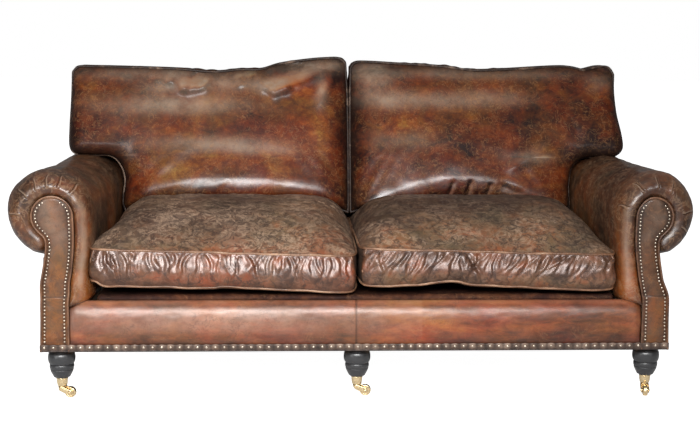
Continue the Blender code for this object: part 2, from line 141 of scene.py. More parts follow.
def gridFaces(nu, nv, wrapU=False, wrapV=False, first=0):
    # Quads between neighbours of a grid of nu by nv points numbered row by row.
    u = np.arange(nu if wrapU else nu - 1)
    v = np.arange(nv if wrapV else nv - 1)
    a, b = np.meshgrid(u, v, indexing="ij")
    c, d = (a + 1) % nu, (b + 1) % nv
    return first + np.stack([a * nv + b, c * nv + b, c * nv + d, a * nv + d], -1).reshape(-1, 4)


def rimOf(values):
    # Once round the outside of a grid.
    return np.concatenate([values[0, :-1], values[:-1, -1], values[-1, :0:-1], values[:0:-1, 0]])


def withPoles(grid):
    # Closes both ends of a tube whose rings are rows, by one more row shrunk to the ring's middle.
    def pole(row):
        return np.repeat(row.mean(0)[None], len(row), 0)[None]
    return np.concatenate([pole(grid[0]), grid, pole(grid[-1])])


def tube(grid):
    # A shell of rings whose ends are closed by poles.
    rings = withPoles(grid)
    return rings, gridFaces(*rings.shape[:2], wrapV=True)


def ringPaint(grid, before=0, after=0, **layers):
    # Paint for a tube made from a grid: the poles, and any columns added before and after the
    # grid's own, take what lies beside them.
    extra = ((1, 1), (before, after))
    return {layer: np.pad(np.broadcast_to(values, grid.shape[:2]), extra, "edge")
            for layer, values in layers.items()}


def bag(front, band, rear):
    # The three shells of a cushion: its front or top, the band round it, and its other face.
    faces = gridFaces(*front.shape[:2])
    return [(front, faces), (band, gridFaces(*band.shape[:2], wrapV=True)), (rear, faces)]


def bagPaint(shells, **layers):
    # Each layer is three arrays or numbers, one for each shell of a bag.
    return {layer: np.concatenate([np.broadcast_to(value, points.shape[:2]).ravel()
                                   for value, (points, _) in zip(values, shells)])
            for layer, values in layers.items()}


def makePiece(name, shells, finish, body="sofa", paint=None, stands=None):
    # Each shell is (points, faces). Doubles are merged, so poles and seams close, and normals face
    # out. The piece may stand for a node of the frame.
    mesh = bpy.data.meshes.new(name)
    verts, faces, first = [], [], 0
    for points, quads in shells:
        flat = np.asarray(points, float).reshape(-1, 3)
        verts.append(flat)
        faces.append(np.asarray(quads) + first)
        first += len(flat)
    verts, faces = np.concatenate(verts), np.concatenate(faces)
    mesh.from_pydata(verts.tolist(), [], faces.tolist())
    layers = {"tone": 0.5, "soil": 0.0, "shine": 0.0, "bloom": 0.0, **(paint or {})}
    for layer, values in layers.items():
        made = mesh.attributes.new(layer, "FLOAT", "POINT")
        values = np.broadcast_to(np.asarray(values, np.float32).reshape(-1), len(verts))
        made.data.foreach_set("value", np.ascontiguousarray(values))
    bm = bmesh.new()
    bm.from_mesh(mesh)
    bmesh.ops.remove_doubles(bm, verts=bm.verts, dist=2e-6)
    bmesh.ops.recalc_face_normals(bm, faces=bm.faces)
    bm.to_mesh(mesh)
    bm.free()
    mesh.shade_smooth()
    obj = bpy.data.objects.new(name, mesh)
    bpy.context.scene.collection.objects.link(obj)
    obj.data.materials.append(finish)
    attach(obj, body)
    if stands:
        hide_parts(stands)
    return obj


def cordAlong(path, radius, up, sides=12, closed=False):
    # Circles square to a path. Each ring's own up is the given direction less its part along
    # the path.
    path = np.asarray(path, float)
    along = np.roll(path, -1, 0) - np.roll(path, 1, 0) if closed else np.gradient(path, axis=0)
    along /= np.linalg.norm(along, axis=1)[:, None]
    side = np.cross(along, np.broadcast_to(up, path.shape))
    side /= np.linalg.norm(side, axis=1)[:, None]
    top = np.cross(side, along)
    turn = np.linspace(0, 2 * np.pi, sides, endpoint=False)
    reach = np.broadcast_to(radius, len(path))[:, None, None]
    return path[:, None] + reach * (np.cos(turn)[None, :, None] * side[:, None]
                                    + np.sin(turn)[None, :, None] * top[:, None])


def cordShell(path, radius, up, sides=12, closed=False):
    rings = cordAlong(path, radius, up, sides, closed)
    if not closed:
        rings = withPoles(rings)
    return rings, gridFaces(len(rings), sides, wrapU=closed, wrapV=True)


def turnedShell(profile, steps=48, ring=False):
    # A profile of (radius, height) spun about the vertical; a ring's profile closes on itself.
    profile = np.asarray(profile, float)
    turn = np.linspace(0, 2 * np.pi, steps, endpoint=False)
    r, z = profile[:, :1], profile[:, 1:]
    grid = np.stack([r * np.cos(turn), r * np.sin(turn), z + 0 * turn], -1)
    if ring:
        return grid, gridFaces(len(profile), steps, wrapU=True, wrapV=True)
    return withPoles(grid), gridFaces(len(profile) + 2, steps, wrapV=True)


def studShells(centres, outward, radius, height, sides=10):
    # Low domes: rings at growing distance from the tip, squashed along the outward direction.
    centres, outward = np.asarray(centres, float), np.asarray(outward, float)
    outward = np.broadcast_to(outward, centres.shape)
    outward = outward / np.linalg.norm(outward, axis=1)[:, None]
    side = np.cross(outward, (0.31, 0.17, 0.93))
    side /= np.linalg.norm(side, axis=1)[:, None]
    up = np.cross(outward, side)
    lift = np.radians([90, 62, 34, 8, -20, -90])
    out, lean = np.cos(lift), np.maximum(np.sin(lift), -0.5)
    out[[0, -1]] = 0
    turn = np.linspace(0, 2 * np.pi, sides, endpoint=False)[None, None, :, None]
    around = np.cos(turn) * side[:, None, None] + np.sin(turn) * up[:, None, None]
    points = (centres[:, None, None] + radius * out[None, :, None, None] * around
              + height * lean[None, :, None, None] * outward[:, None, None])
    faces = gridFaces(len(lift), sides, wrapV=True)
    steps = np.arange(len(centres))[:, None, None] * len(lift) * sides
    return points, (faces[None] + steps).reshape(-1, 4)


def backPlane(z):
    # Depth of the raked back at a height.
    return backFootY + (z - backFootZ) * math.tan(backRake)


def node(tree, kind, sockets=None, **settings):
    # A shader node with its settings; a socket value is linked and any other value is set.
    made = tree.nodes.new("ShaderNode" + kind)
    for key, value in settings.items():
        setattr(made, key, value)
    for key, value in (sockets or {}).items():
        if isinstance(value, bpy.types.NodeSocket):
            tree.links.new(value, made.inputs[key])
        else:
            made.inputs[key].default_value = value
    return made


def maths(tree, operation, a, b=0.0, clamp=False):
    return node(tree, "Math", {0: a, 1: b}, operation=operation, use_clamp=clamp).outputs[0]


def blended(tree, share, a, b, way="MIX"):
    mix = node(tree, "Mix", {0: share, 6: a, 7: b}, data_type="RGBA", blend_type=way)
    return mix.outputs[2]


def noise(tree, where, scale, detail=4.0, rough=0.55, twist=0.0):
    return node(tree, "TexNoise", {"Vector": where, "Scale": scale, "Detail": detail,
                                   "Roughness": rough, "Distortion": twist}).outputs["Fac"]


def ranged(tree, value, low, high, newLow=0.0, newHigh=1.0):
    return node(tree, "MapRange", {0: value, 1: low, 2: high, 3: newLow, 4: newHigh}).outputs[0]


def ramp(tree, value, stops):
    made = node(tree, "ValToRGB", {0: value})
    steps = made.color_ramp.elements
    while len(steps) < len(stops):
        steps.new(0.5)
    for step, (place, colour) in zip(steps, stops):
        step.position = place
        step.color = (*colour, 1.0)
    return made.outputs[0]


def startMaterial(name, **sockets):
    made = bpy.data.materials.new(name)
    made.use_nodes = True
    shader = made.node_tree.nodes["Principled BSDF"]
    for key, value in sockets.items():
        shader.inputs[key].default_value = value
    return made, made.node_tree, shader


def leather(name, look):
    # Old waxed hide. Slow patches and a finer mottle shift the painted "tone" along the dyes, and a
    # pale layer of dusty bloom and painted sheen lies over them. A net of pale worn lines, scuffs
    # and a net of dark cracks follow, then a dark layer of dirt in the seams and of painted shade
    # in grooves and under parts. "shine" polishes the wax.
    made, tree, shader = startMaterial(name, **{
        "Specular IOR Level": look["specular"], "Coat Weight": 0.0,
        "Specular Tint": (*look["specularTint"], 1.0),
        "Coat Roughness": look["coatRoughness"]})
    where = node(tree, "TexCoord").outputs["Object"]
    stretch = node(tree, "Mapping", {"Vector": where, "Scale": look["stretch"]}).outputs[0]
    tone, soil, shine, bloom = [node(tree, "Attribute", attribute_name=layer).outputs["Fac"]
                                for layer in ("tone", "soil", "shine", "bloom")]

    patches = noise(tree, stretch, look["patchScale"], 5.0, 0.6, 0.6)
    patches = ranged(tree, patches, 0.30, 0.70, -look["patchSpread"], look["patchSpread"])
    mottle = noise(tree, stretch, look["mottleScale"], 8.0, 0.78, 0.5)
    mottle = ranged(tree, mottle, 0.3, 0.7, -look["mottleSpread"], look["mottleSpread"])
    dye = maths(tree, "ADD", maths(tree, "ADD", tone, patches), mottle, clamp=True)
    colour = ramp(tree, dye, look["dyes"])
    if look["hues"]:
        hue = noise(tree, stretch, look["hueScale"], 5.0, 0.65, 0.6)
        colour = blended(tree, 1.0, colour, ramp(tree, hue, look["hues"]), way="MULTIPLY")

    bent = node(tree, "VectorMath", {0: where, 1: node(tree, "VectorMath", {
        0: node(tree, "TexNoise", {"Vector": where, "Scale": 26.0}).outputs["Color"],
        1: (0.020, 0.020, 0.020)}, operation="MULTIPLY").outputs[0]}, operation="ADD").outputs[0]

    def veins(scale, width, patchScale, sparse):
        # Thin wandering lines where a noise crosses its middle, kept only where another is high.
        line = maths(tree, "ABSOLUTE", maths(tree, "SUBTRACT", noise(
            tree, bent, scale, 5.0, 0.62, 0.8), 0.5))
        line = ranged(tree, line, 0.0, width, 1.0, 0.0)
        kept = ranged(tree, noise(tree, where, patchScale, 4.0, 0.65), sparse, sparse + 0.16)
        return maths(tree, "MULTIPLY", line, kept, clamp=True)

    # Pale patches where the pale layer is high: dusty bloom and painted sheen.
    bloomAndSheenMask = noise(tree, where, 16.0, 6.0, 0.7)
    bloomAndSheenMask = maths(tree, "MULTIPLY", bloom, ranged(tree, bloomAndSheenMask, 0.34, 0.62, 0.45, 1.0), clamp=True)
    colour = blended(tree, bloomAndSheenMask, colour, (*look["bloomColour"], 1.0))
    worn = veins(look["wornScale"], look["wornWidth"], look["wornPatch"], look["wornFrom"])
    if look["wornBare"] < 1.0:
        worn = maths(tree, "MULTIPLY", worn, ranged(tree, bloom, 0.0, 0.22, look["wornBare"], 1.0))
    colour = blended(tree, maths(tree, "MULTIPLY", worn, look["wornAmount"]), colour,
                     (*look["wornColour"], 1.0))
    scuffs = noise(tree, stretch, look["scuffScale"], 9.0, 0.75, 1.4)
    scuffs = ranged(tree, scuffs, look["scuffFrom"], look["scuffFrom"] + 0.14, 0.0,
                    look["scuffAmount"])
    colour = blended(tree, scuffs, colour, (*look["scuffColour"], 1.0))
    if look["polishedTint"]:
        colour = blended(tree, maths(tree, "MULTIPLY", shine, 3.0, clamp=True), colour,
                         (*look["polishedTint"], 1.0), way="MULTIPLY")
    cracks = veins(look["crackScale"], look["crackWidth"], look["crackPatch"], look["crackFrom"])
    colour = blended(tree, maths(tree, "MULTIPLY", cracks, look["crackDark"]), colour,
                     (*look["crackColour"], 1.0))
    # The dark layer: dirt in the seams and painted shade in grooves and under parts.
    colour = blended(tree, soil, colour, (*look["soilColour"], 1.0))
    tree.links.new(colour, shader.inputs["Base Color"])

    dull = noise(tree, where, look["dullScale"], 5.0, 0.65)
    dull = ranged(tree, dull, 0.35, 0.65, look["roughness"][0], look["roughness"][1])
    dull = maths(tree, "ADD", dull, maths(tree, "MULTIPLY", scuffs, 0.15))
    dull = maths(tree, "ADD", dull, maths(tree, "MULTIPLY", soil, 0.2))
    dull = maths(tree, "SUBTRACT", dull, maths(tree, "MULTIPLY", shine, look["polish"]))
    tree.links.new(maths(tree, "MAXIMUM", dull, 0.12, clamp=True), shader.inputs["Roughness"])
    if look["coat"]:
        wax = maths(tree, "ADD", maths(tree, "MULTIPLY", shine, look["wax"]), look["coat"])
        rubbed = ranged(tree, noise(tree, stretch, 11.0, 6.0, 0.7, 0.8), 0.36, 0.60, 0.35, 1.0)
        wax = maths(tree, "MULTIPLY", wax, maths(tree, "MAXIMUM", rubbed, shine))
        wax = maths(tree, "MULTIPLY", wax, maths(tree, "SUBTRACT", 1.0, soil), clamp=True)
        tree.links.new(wax, shader.inputs["Coat Weight"])

    pebbles = node(tree, "TexVoronoi", {"Vector": bent, "Scale": look["grainScale"]},
                   feature="SMOOTH_F1").outputs["Distance"]
    creases = noise(tree, stretch, look["creaseScale"], 6.0, 0.65, 0.8)
    height = maths(tree, "ADD", maths(tree, "MULTIPLY", pebbles, look["grainHeight"]),
                   maths(tree, "MULTIPLY", creases, look["creaseHeight"]))
    height = maths(tree, "SUBTRACT", height, maths(tree, "MULTIPLY", cracks, look["crackDepth"]))
    strength = maths(tree, "SUBTRACT", look["bump"], maths(
        tree, "MULTIPLY", shine, 0.6 * look["bump"]))
    bump = node(tree, "Bump", {"Height": height, "Strength": strength, "Distance": 0.001})
    tree.links.new(bump.outputs[0], shader.inputs["Normal"])
    return made


hide = dict(hues=None, hueScale=5.0, polishedTint=None, polish=0.36, wax=0.4, wornBare=1.0,
            specularTint=(1.0, 1.0, 1.0),
            stretch=(1.0, 1.0, 1.0), patchScale=3.2, patchSpread=0.24, mottleScale=20.0,
            mottleSpread=0.27,
            bloomColour=(0.235, 0.160, 0.115),
            wornScale=18.0, wornWidth=0.016, wornPatch=8.0, wornFrom=0.42, wornAmount=0.30,
            wornColour=(0.26, 0.13, 0.06),
            scuffScale=14.0, scuffFrom=0.60, scuffAmount=0.25, scuffColour=(0.22, 0.13, 0.085),
            crackScale=30.0, crackWidth=0.018, crackPatch=7.0, crackFrom=0.42, crackDark=0.45,
            crackColour=(0.020, 0.010, 0.007), crackDepth=0.5, soilColour=(0.014, 0.007, 0.005),
            dullScale=9.0, roughness=(0.40, 0.54), specular=0.28, coat=0.40, coatRoughness=0.22,
            grainScale=420.0, grainHeight=0.5, creaseScale=60.0, creaseHeight=0.8, bump=0.30)

# Its pale colour paints dusty bloom and the grey painted sheen over the back cushions.
backHide = leather("wax-rubbed back leather", dict(
    hide, dyes=[(0.0, (0.013, 0.005, 0.004)), (0.25, (0.048, 0.014, 0.006)),
                (0.50, (0.086, 0.024, 0.007)), (0.75, (0.142, 0.046, 0.010)),
                (1.0, (0.215, 0.094, 0.021))],
    hues=[(0.34, (1.0, 0.56, 0.50)), (0.48, (1.0, 0.76, 0.68)), (0.58, (0.94, 0.96, 0.80)),
          (0.70, (0.72, 0.96, 1.0))],
    bloomColour=(0.265, 0.195, 0.142), patchScale=4.6, patchSpread=0.30, mottleSpread=0.36,
    wornScale=34.0, wornWidth=0.020, wornFrom=0.36, wornAmount=0.34,
    wornColour=(0.32, 0.16, 0.066), stretch=(1.0, 1.0, 1.3), roughness=(0.42, 0.56),
    specular=0.08, polish=0.10, coat=0.14, wax=1.0, coatRoughness=0.25))
seatHide = leather("cracked seat leather", dict(
    hide, dyes=[(0.0, (0.022, 0.013, 0.008)), (0.30, (0.068, 0.040, 0.022)),
                (0.55, (0.122, 0.066, 0.033)), (0.78, (0.180, 0.064, 0.022)),
                (1.0, (0.240, 0.072, 0.020))],
    hues=[(0.36, (1.0, 0.72, 0.62)), (0.50, (1.0, 0.95, 0.88)), (0.64, (0.84, 1.0, 0.92))],
    patchSpread=0.30, mottleSpread=0.34, wornScale=30.0, wornWidth=0.062, wornPatch=9.0,
    wornFrom=0.32, wornAmount=0.78, wornBare=0.25, wornColour=(0.34, 0.228, 0.150),
    scuffAmount=0.40, scuffFrom=0.55, scuffScale=20.0, scuffColour=(0.20, 0.120, 0.080),
    crackScale=17.0, crackWidth=0.034, crackDark=0.80, crackFrom=0.28,
    bloomColour=(0.250, 0.165, 0.120), roughness=(0.48, 0.64), bump=0.9, polish=0.26,
    coat=0.06, wax=0.30, coatRoughness=0.22, specular=0.60, specularTint=(1.0, 0.80, 0.74),
    polishedTint=(0.88, 0.66, 0.64)))
# Near-black leather for the deck: painted shade under the seat cushions.
shadedDeckHide = leather("deck leather dark as painted shade", dict(
    hide, dyes=[(0.0, (0.008, 0.003, 0.002)), (0.4, (0.026, 0.009, 0.006)),
                (1.0, (0.150, 0.054, 0.022))],
    roughness=(0.6, 0.75), specular=0.12, coat=0.0))
# Its pale colour paints the pinkish painted sheen over the border, partly dusty bloom.
borderHide = leather("glossy border leather", dict(
    hide, dyes=[(0.0, (0.040, 0.013, 0.006)), (0.35, (0.110, 0.030, 0.011)),
                (0.65, (0.200, 0.055, 0.018)), (1.0, (0.280, 0.095, 0.028))],
    hues=[(0.34, (1.0, 0.66, 0.74)), (0.50, (1.0, 0.94, 0.92)), (0.64, (0.90, 1.04, 0.80))],
    hueScale=7.0, stretch=(0.6, 1.0, 1.6), roughness=(0.38, 0.48), scuffAmount=0.12, patchScale=5.0,
    patchSpread=0.36, mottleSpread=0.36, coat=0.50, bump=0.18, specular=0.4,
    specularTint=(1.0, 0.84, 0.76), bloomColour=(0.36, 0.205, 0.145), coatRoughness=0.34))
# Its pale colour paints dusty bloom, the pale pleat lines and a painted highlight along the arms'
# inner ridges.
armHide = leather("dark arm leather", dict(
    hide, dyes=[(0.0, (0.014, 0.008, 0.005)), (0.25, (0.048, 0.024, 0.013)),
                (0.50, (0.100, 0.041, 0.016)), (0.75, (0.180, 0.062, 0.017)),
                (1.0, (0.260, 0.100, 0.028))],
    hues=[(0.36, (1.0, 0.66, 0.55)), (0.52, (1.0, 0.88, 0.80)), (0.66, (0.88, 1.0, 0.92))],
    roughness=(0.38, 0.54), scuffAmount=0.24, wornScale=30.0, wornWidth=0.036, wornPatch=11.0,
    wornFrom=0.32, wornAmount=0.54, wornColour=(0.27, 0.160, 0.090), coat=0.5,
    coatRoughness=0.26, bloomColour=(0.37, 0.26, 0.185)))
facingHide = leather("facing leather", dict(
    hide, dyes=[(0.0, (0.030, 0.016, 0.009)), (0.35, (0.085, 0.043, 0.024)),
                (0.65, (0.165, 0.062, 0.019)), (1.0, (0.260, 0.095, 0.026))],
    hues=[(0.36, (1.0, 0.74, 0.60)), (0.52, (1.0, 0.95, 0.88)), (0.66, (0.90, 1.0, 0.95))],
    roughness=(0.40, 0.52), scuffAmount=0.2, specular=0.20, coat=0.36))
pipingHide = leather("rubbed piping", dict(
    hide, dyes=[(0.0, (0.040, 0.018, 0.011)), (0.5, (0.150, 0.070, 0.036)),
                (1.0, (0.340, 0.200, 0.120))],
    patchScale=9.0, roughness=(0.35, 0.5), scuffAmount=0.4))
darkPiping = leather("black-brown piping", dict(
    hide, dyes=[(0.0, (0.008, 0.005, 0.004)), (0.5, (0.024, 0.013, 0.009)),
                (1.0, (0.280, 0.185, 0.130))],
    patchScale=12.0, roughness=(0.45, 0.6), scuffAmount=0.2, coat=0.0))
trimHide = leather("trim band leather", dict(
    hide, dyes=[(0.0, (0.024, 0.016, 0.012)), (0.5, (0.080, 0.050, 0.036)),
                (1.0, (0.230, 0.160, 0.120))],
    patchScale=20.0, roughness=(0.4, 0.6)))


def metal(name, colour, roughness, tarnish, tarnishShare):
    # Metal with cloudy tarnish: a noise mixes two colours and shifts the roughness.
    made, tree, shader = startMaterial(name, Metallic=1.0)
    where = node(tree, "TexCoord").outputs["Object"]
    cloud = ranged(tree, noise(tree, where, 160.0, 4.0, 0.6), 0.40, 0.68, 0.0, tarnishShare)
    tree.links.new(blended(tree, cloud, (*colour, 1.0), (*tarnish, 1.0)),
                   shader.inputs["Base Color"])
    tree.links.new(maths(tree, "ADD", maths(tree, "MULTIPLY", cloud, 0.3), roughness),
                   shader.inputs["Roughness"])
    return made


castorBrass = metal("castor brass", (0.88, 0.70, 0.42), 0.20, (0.50, 0.34, 0.16), 0.45)
nailBrass = metal("worn nail heads", (0.70, 0.61, 0.50), 0.30, (0.18, 0.12, 0.08), 0.8)
springSteel = metal("spring steel", (0.42, 0.42, 0.44), 0.35, (0.16, 0.12, 0.10), 0.6)


def timber(name, dark, pale, roughness, coat):
    # Long grain: noise drawn out along one axis, mixed between two colours, with a little bump.
    made, tree, shader = startMaterial(name, **{"Coat Weight": coat, "Coat Roughness": 0.25})
    where = node(tree, "Mapping", {"Vector": node(tree, "TexCoord").outputs["Object"],
                                   "Scale": (3.0, 14.0, 14.0)}).outputs[0]
    grain = noise(tree, where, 6.0, 6.0, 0.7, 1.5)
    tree.links.new(blended(tree, grain, (*dark, 1.0), (*pale, 1.0)), shader.inputs["Base Color"])
    tree.links.new(ranged(tree, grain, 0.3, 0.7, roughness, roughness + 0.12),
                   shader.inputs["Roughness"])
    bump = node(tree, "Bump", {"Height": grain, "Strength": 0.2, "Distance": 0.001})
    tree.links.new(bump.outputs[0], shader.inputs["Normal"])
    return made


beech = timber("beech", (0.36, 0.22, 0.12), (0.62, 0.43, 0.26), 0.55, 0.0)
blackWood = timber("ebonised wood", (0.010, 0.010, 0.011), (0.030, 0.030, 0.032), 0.26, 0.3)


def wovenCloth(name, dark, pale):
    # A plain weave: two crossed wave patterns in the bump and a faint mottle in the colour.
    made, tree, shader = startMaterial(name, Roughness=0.9)
    where = node(tree, "TexCoord").outputs["Object"]
    warp = node(tree, "TexWave", {"Vector": where, "Scale": 160.0}, bands_direction="X").outputs[1]
    weft = node(tree, "TexWave", {"Vector": where, "Scale": 160.0}, bands_direction="Y").outputs[1]
    weave = maths(tree, "MULTIPLY", warp, weft)
    cloud = noise(tree, where, 30.0)
    tree.links.new(blended(tree, cloud, (*dark, 1.0), (*pale, 1.0)), shader.inputs["Base Color"])
    bump = node(tree, "Bump", {"Height": weave, "Strength": 0.5, "Distance": 0.001})
    tree.links.new(bump.outputs[0], shader.inputs["Normal"])
    return made


blackCloth = wovenCloth("black dust cloth", (0.012, 0.012, 0.012), (0.035, 0.034, 0.033))
print("materials made")


arm = dict(
    headRadius=0.0615, headFrom=-42.0,         # round top of the facing
    rollRadius=0.132, rollFrom=-82.6,          # the roll behind it
    facingThick=0.016, endGap=0.002,
    under=30, around=460, inside=96,           # points along the outline
    tubeRows=46, edgeRows=60,
    pleatWidth=0.0017, pleatDepth=0.0030, puff=0.0022,
    droop={-1: 0.013, 1: 0.006},               # how far the middle of each arm has sunk
    stripX=0.930, stripZ=(0.318, 0.452),       # the closing strip on the frame's post
)
arm["headX"] = highOf("right_arm_facing", axisX) - arm["headRadius"]
arm["headZ"] = highOf("right_arm_facing", axisZ) - arm["headRadius"]
arm["rollX"] = highOf("right_arm", axisX) - arm["rollRadius"]
arm["rollZ"] = highOf("right_arm", axisZ) - arm["rollRadius"]


def joined(*runs):
    # Runs of points end to end; each one's first point repeats the last of the one before.
    return np.concatenate([runs[0]] + [run[1:] for run in runs[1:]])


def settle(points, side):
    # Mirrors a point of the right arm to its own side. Above the plinth both arms have racked
    # to the left, and the right one's front is a little slimmer.
    x, z = points[..., 0], points[..., 2]
    above = smoothStep(z, 0.320, 0.385)
    if side < 0:
        x = x + 0.0100 * above
    else:
        x = x - (0.0088 + 0.0034 * smoothStep(x, 0.97, 1.05)) * above * smoothStep(x, 0.872, 0.940)
        x = x + (0.0045 - 0.0030 * smoothStep(z, 0.40, 0.52)) * (1 - smoothStep(
            x, 0.865, 0.905)) * smoothStep(x, 0.835, 0.858)
    return np.stack([side * x, points[..., 1], z], -1)


def facingEdge():
    # The keyhole outline in (x, z): up the outer side, over the round head, down the inner side.
    head = (arm["headX"], arm["headZ"])
    over = arcPath(head, arm["headRadius"], arm["headFrom"], 180.0, 200)
    outer = curveThrough([(0.9740, baseZ), (0.9705, 0.250), (0.9680, 0.330), (0.9560, 0.385),
                          (0.9455, 0.440), (0.9400, 0.485), (0.9440, 0.512), over[0]], 160)
    inner = curveThrough([over[-1], (0.8578, 0.530), (0.8600, 0.470), (0.8685, 0.400),
                          (0.8830, 0.340), (0.8885, 0.315), (0.8890, 0.250), (0.8895, baseZ)],
                         180)
    return joined(outer, over, inner)


def bolsterInside():
    # Where the padded edge leaves the facing.
    head = (arm["headX"], arm["headZ"])
    over = arcPath(head, arm["headRadius"], arm["headFrom"], 180.0, arm["around"])
    neck = curveThrough([(0.9500, 0.4525), (0.9425, 0.4730), (0.9410, 0.4980), (0.9480, 0.5180),
                         over[0]], arm["under"])
    down = curveThrough([over[-1], (0.8578, 0.530), (0.8600, 0.470), (0.8685, 0.400),
                         (0.8810, 0.345), (0.8880, 0.318), (0.8900, 0.300)], arm["inside"])
    return joined(neck, over, down)


def bolsterOutside():
    # The arm's own skin: under the roll, round it, and down the inner face to the border.
    roll = (arm["rollX"], arm["rollZ"])
    under = arcPath(roll, arm["rollRadius"], arm["rollFrom"], arm["headFrom"], arm["under"])
    over = arcPath(roll, arm["rollRadius"], arm["headFrom"], 180.0, arm["around"])
    down = curveThrough([over[-1], (0.8050, 0.500), (0.8120, 0.410), (0.8135, 0.358),
                         (0.8155, 0.330), (0.8235, 0.312), (0.8400, 0.304), (0.8680, 0.302)],
                        arm["inside"])
    return joined(under, over, down)


def makeArm(word, side, pleats, seed):
    # Rings run from the facing outwards over the padded edge (share 0 to 1 of the way from the
    # inner outline to the outer one, with a depth), then straight back to the raked back.
    inner, outer = bolsterInside(), bolsterOutside()
    edge = curveThrough([(0.0, 0.0165), (0.05, 0.0085), (0.17, 0.0010), (0.33, -0.0028),
                         (0.50, 0.0002), (0.65, 0.0080), (0.78, 0.0200), (0.90, 0.0400),
                         (1.0, 0.0750)], arm["edgeRows"])
    share, depth = edge[:, 0], edge[:, 1]
    flat = inner[None] + share[:, None, None] * (outer - inner)[None]
    run = lengthAlong(outer)
    level = arm["facingThick"] + 0.0005 + 0.034 * smoothStep(share, 0.0, 0.08) + 0.012 * share
    fade = smoothStep(run, 0.0, 0.045)
    y = level[:, None] + (depth[:, None] - level[:, None]) * fade[None]
    ends = backPlane(outer[:, 1]) - arm["endGap"] - faceY
    t = np.linspace(0, 1, arm["tubeRows"] + 1)[1:, None]
    yTube = y[-1:] + (ends[None] - y[-1:]) * t
    grid = np.stack([np.concatenate([flat[..., 0], np.repeat(outer[None, :, 0], len(t), 0)]),
                     faceY + np.concatenate([y, yTube]),
                     np.concatenate([flat[..., 1], np.repeat(outer[None, :, 1], len(t), 0)])], -1)
    normal = gridNormals(grid)
    middle = np.array([arm["rollX"], 0.0, arm["rollZ"]])
    normal *= np.sign((normal * (grid - middle)).sum(-1).mean())
    steps = np.linalg.norm(np.diff(grid, axis=0), axis=-1)
    fromFacing = np.concatenate([np.zeros((1, grid.shape[1])), np.cumsum(steps, 0)])
    height = grid[..., 2]

    # Pleats: a narrow groove square to the outline, with a soft ridge on one side of it.
    turn = np.degrees(np.arctan2(height - middle[2], grid[..., 0] - middle[0])) % 360
    reach = np.hypot(height - middle[2], grid[..., 0] - middle[0])
    move, soil, pale = np.zeros((3, *grid.shape[:2]))
    for angle, start, end, lean in pleats:
        across = np.radians((turn - angle + 180) % 360 - 180) * reach
        across = across - lean * (fromFacing - start) - 0.0012 * np.sin(fromFacing * 150 + angle)
        window = smoothStep(fromFacing, start, start + 0.010)
        window = window * (1 - smoothStep(fromFacing, end - 0.022, end))
        groove = np.exp(-(across / arm["pleatWidth"]) ** 2)
        ridge = np.exp(-((across - 0.0050) / 0.0042) ** 2)
        ridge = ridge + 0.5 * np.exp(-((across + 0.0055) / 0.0045) ** 2)
        move += window * (arm["puff"] * ridge - arm["pleatDepth"] * groove)
        # Painted shade in each pleat's groove, and a pale line beside it on the ridge that is
        # partly wear and partly a painted highlight.
        soil = np.maximum(soil, 0.55 * window * np.exp(-(across / 0.0014) ** 2))
        pale = np.maximum(pale, window * np.exp(-((across - 0.0030) / 0.0022) ** 2))
    onTube = smoothStep(fromFacing, 0.06, 0.14)
    move += 0.0014 * waves(grid, 0.13, seed) * (0.30 + 0.70 * onTube)
    move += 0.00022 * waves(grid, 0.030, seed + 1)
    lowSag = smoothStep(fromFacing, 0.05, 0.35) * (1 - smoothStep(fromFacing, 0.5, 0.8))
    move -= 0.004 * lowSag * smoothStep(height, 0.60, 0.71)
    move *= fade[None]
    grid = grid + normal * move[..., None]
    height = grid[..., 2]
    height -= arm["droop"][side] * smoothStep(fromFacing, 0.15, 0.60) * smoothStep(
        height, 0.52, 0.70)

    # Tan where hands and legs rub: the padded edge and the inner face beside it. Painted light and
    # shade lie over it too, as marked below.
    facesIn = smoothStep(run, run[-1] - 0.50, run[-1] - 0.20)[None]
    padded = 1 - smoothStep(fromFacing, 0.045, 0.120)
    tone = 0.32 + 0.20 * padded * (0.3 + 0.7 * facesIn) + 0.22 * facesIn * np.exp(
        -((fromFacing - 0.105) / 0.045) ** 2)
    tone = tone + 0.32 * smoothStep(fromFacing, 0.20, 0.50) * facesIn + 0.05 * pale
    # The right arm's padded edge is painted darker, as shade.
    tone = tone - 0.08 * (1 + side) * padded
    low = 1 - smoothStep(height, 0.36, 0.54)
    tone = tone + 0.24 * low * facesIn
    rolled = facesIn * smoothStep(fromFacing, 0.0, 0.012)
    # A painted highlight along the inner ridge, and a darker band further in on the inner face.
    tone = tone + 0.16 * rolled * np.exp(-((fromFacing - 0.055) / 0.022) ** 2)
    tone = tone - 0.12 * rolled * np.exp(-((fromFacing - 0.118) / 0.020) ** 2)
    # The pale layer paints the highlight along this ridge, stronger on the left arm, and the pale
    # pleat lines.
    ridge = rolled * np.exp(-((fromFacing - 0.046) / 0.014) ** 2)
    bloom = np.maximum((0.50 - 0.10 * side) * ridge * smoothStep(height, 0.33, 0.40), 0.5 * pale)
    shine = np.maximum(0.5 * padded * (0.4 + 0.6 * facesIn), 0.9 * ridge) + 0.4 * low * facesIn
    # Painted shade in the groove beside the facing, and where the inner face meets the deck.
    soil = np.maximum(soil, 0.8 * np.exp(-fromFacing / 0.006))
    soil = np.maximum(soil, 0.85 * smoothStep(run, run[-1] - 0.05, run[-1])[None])

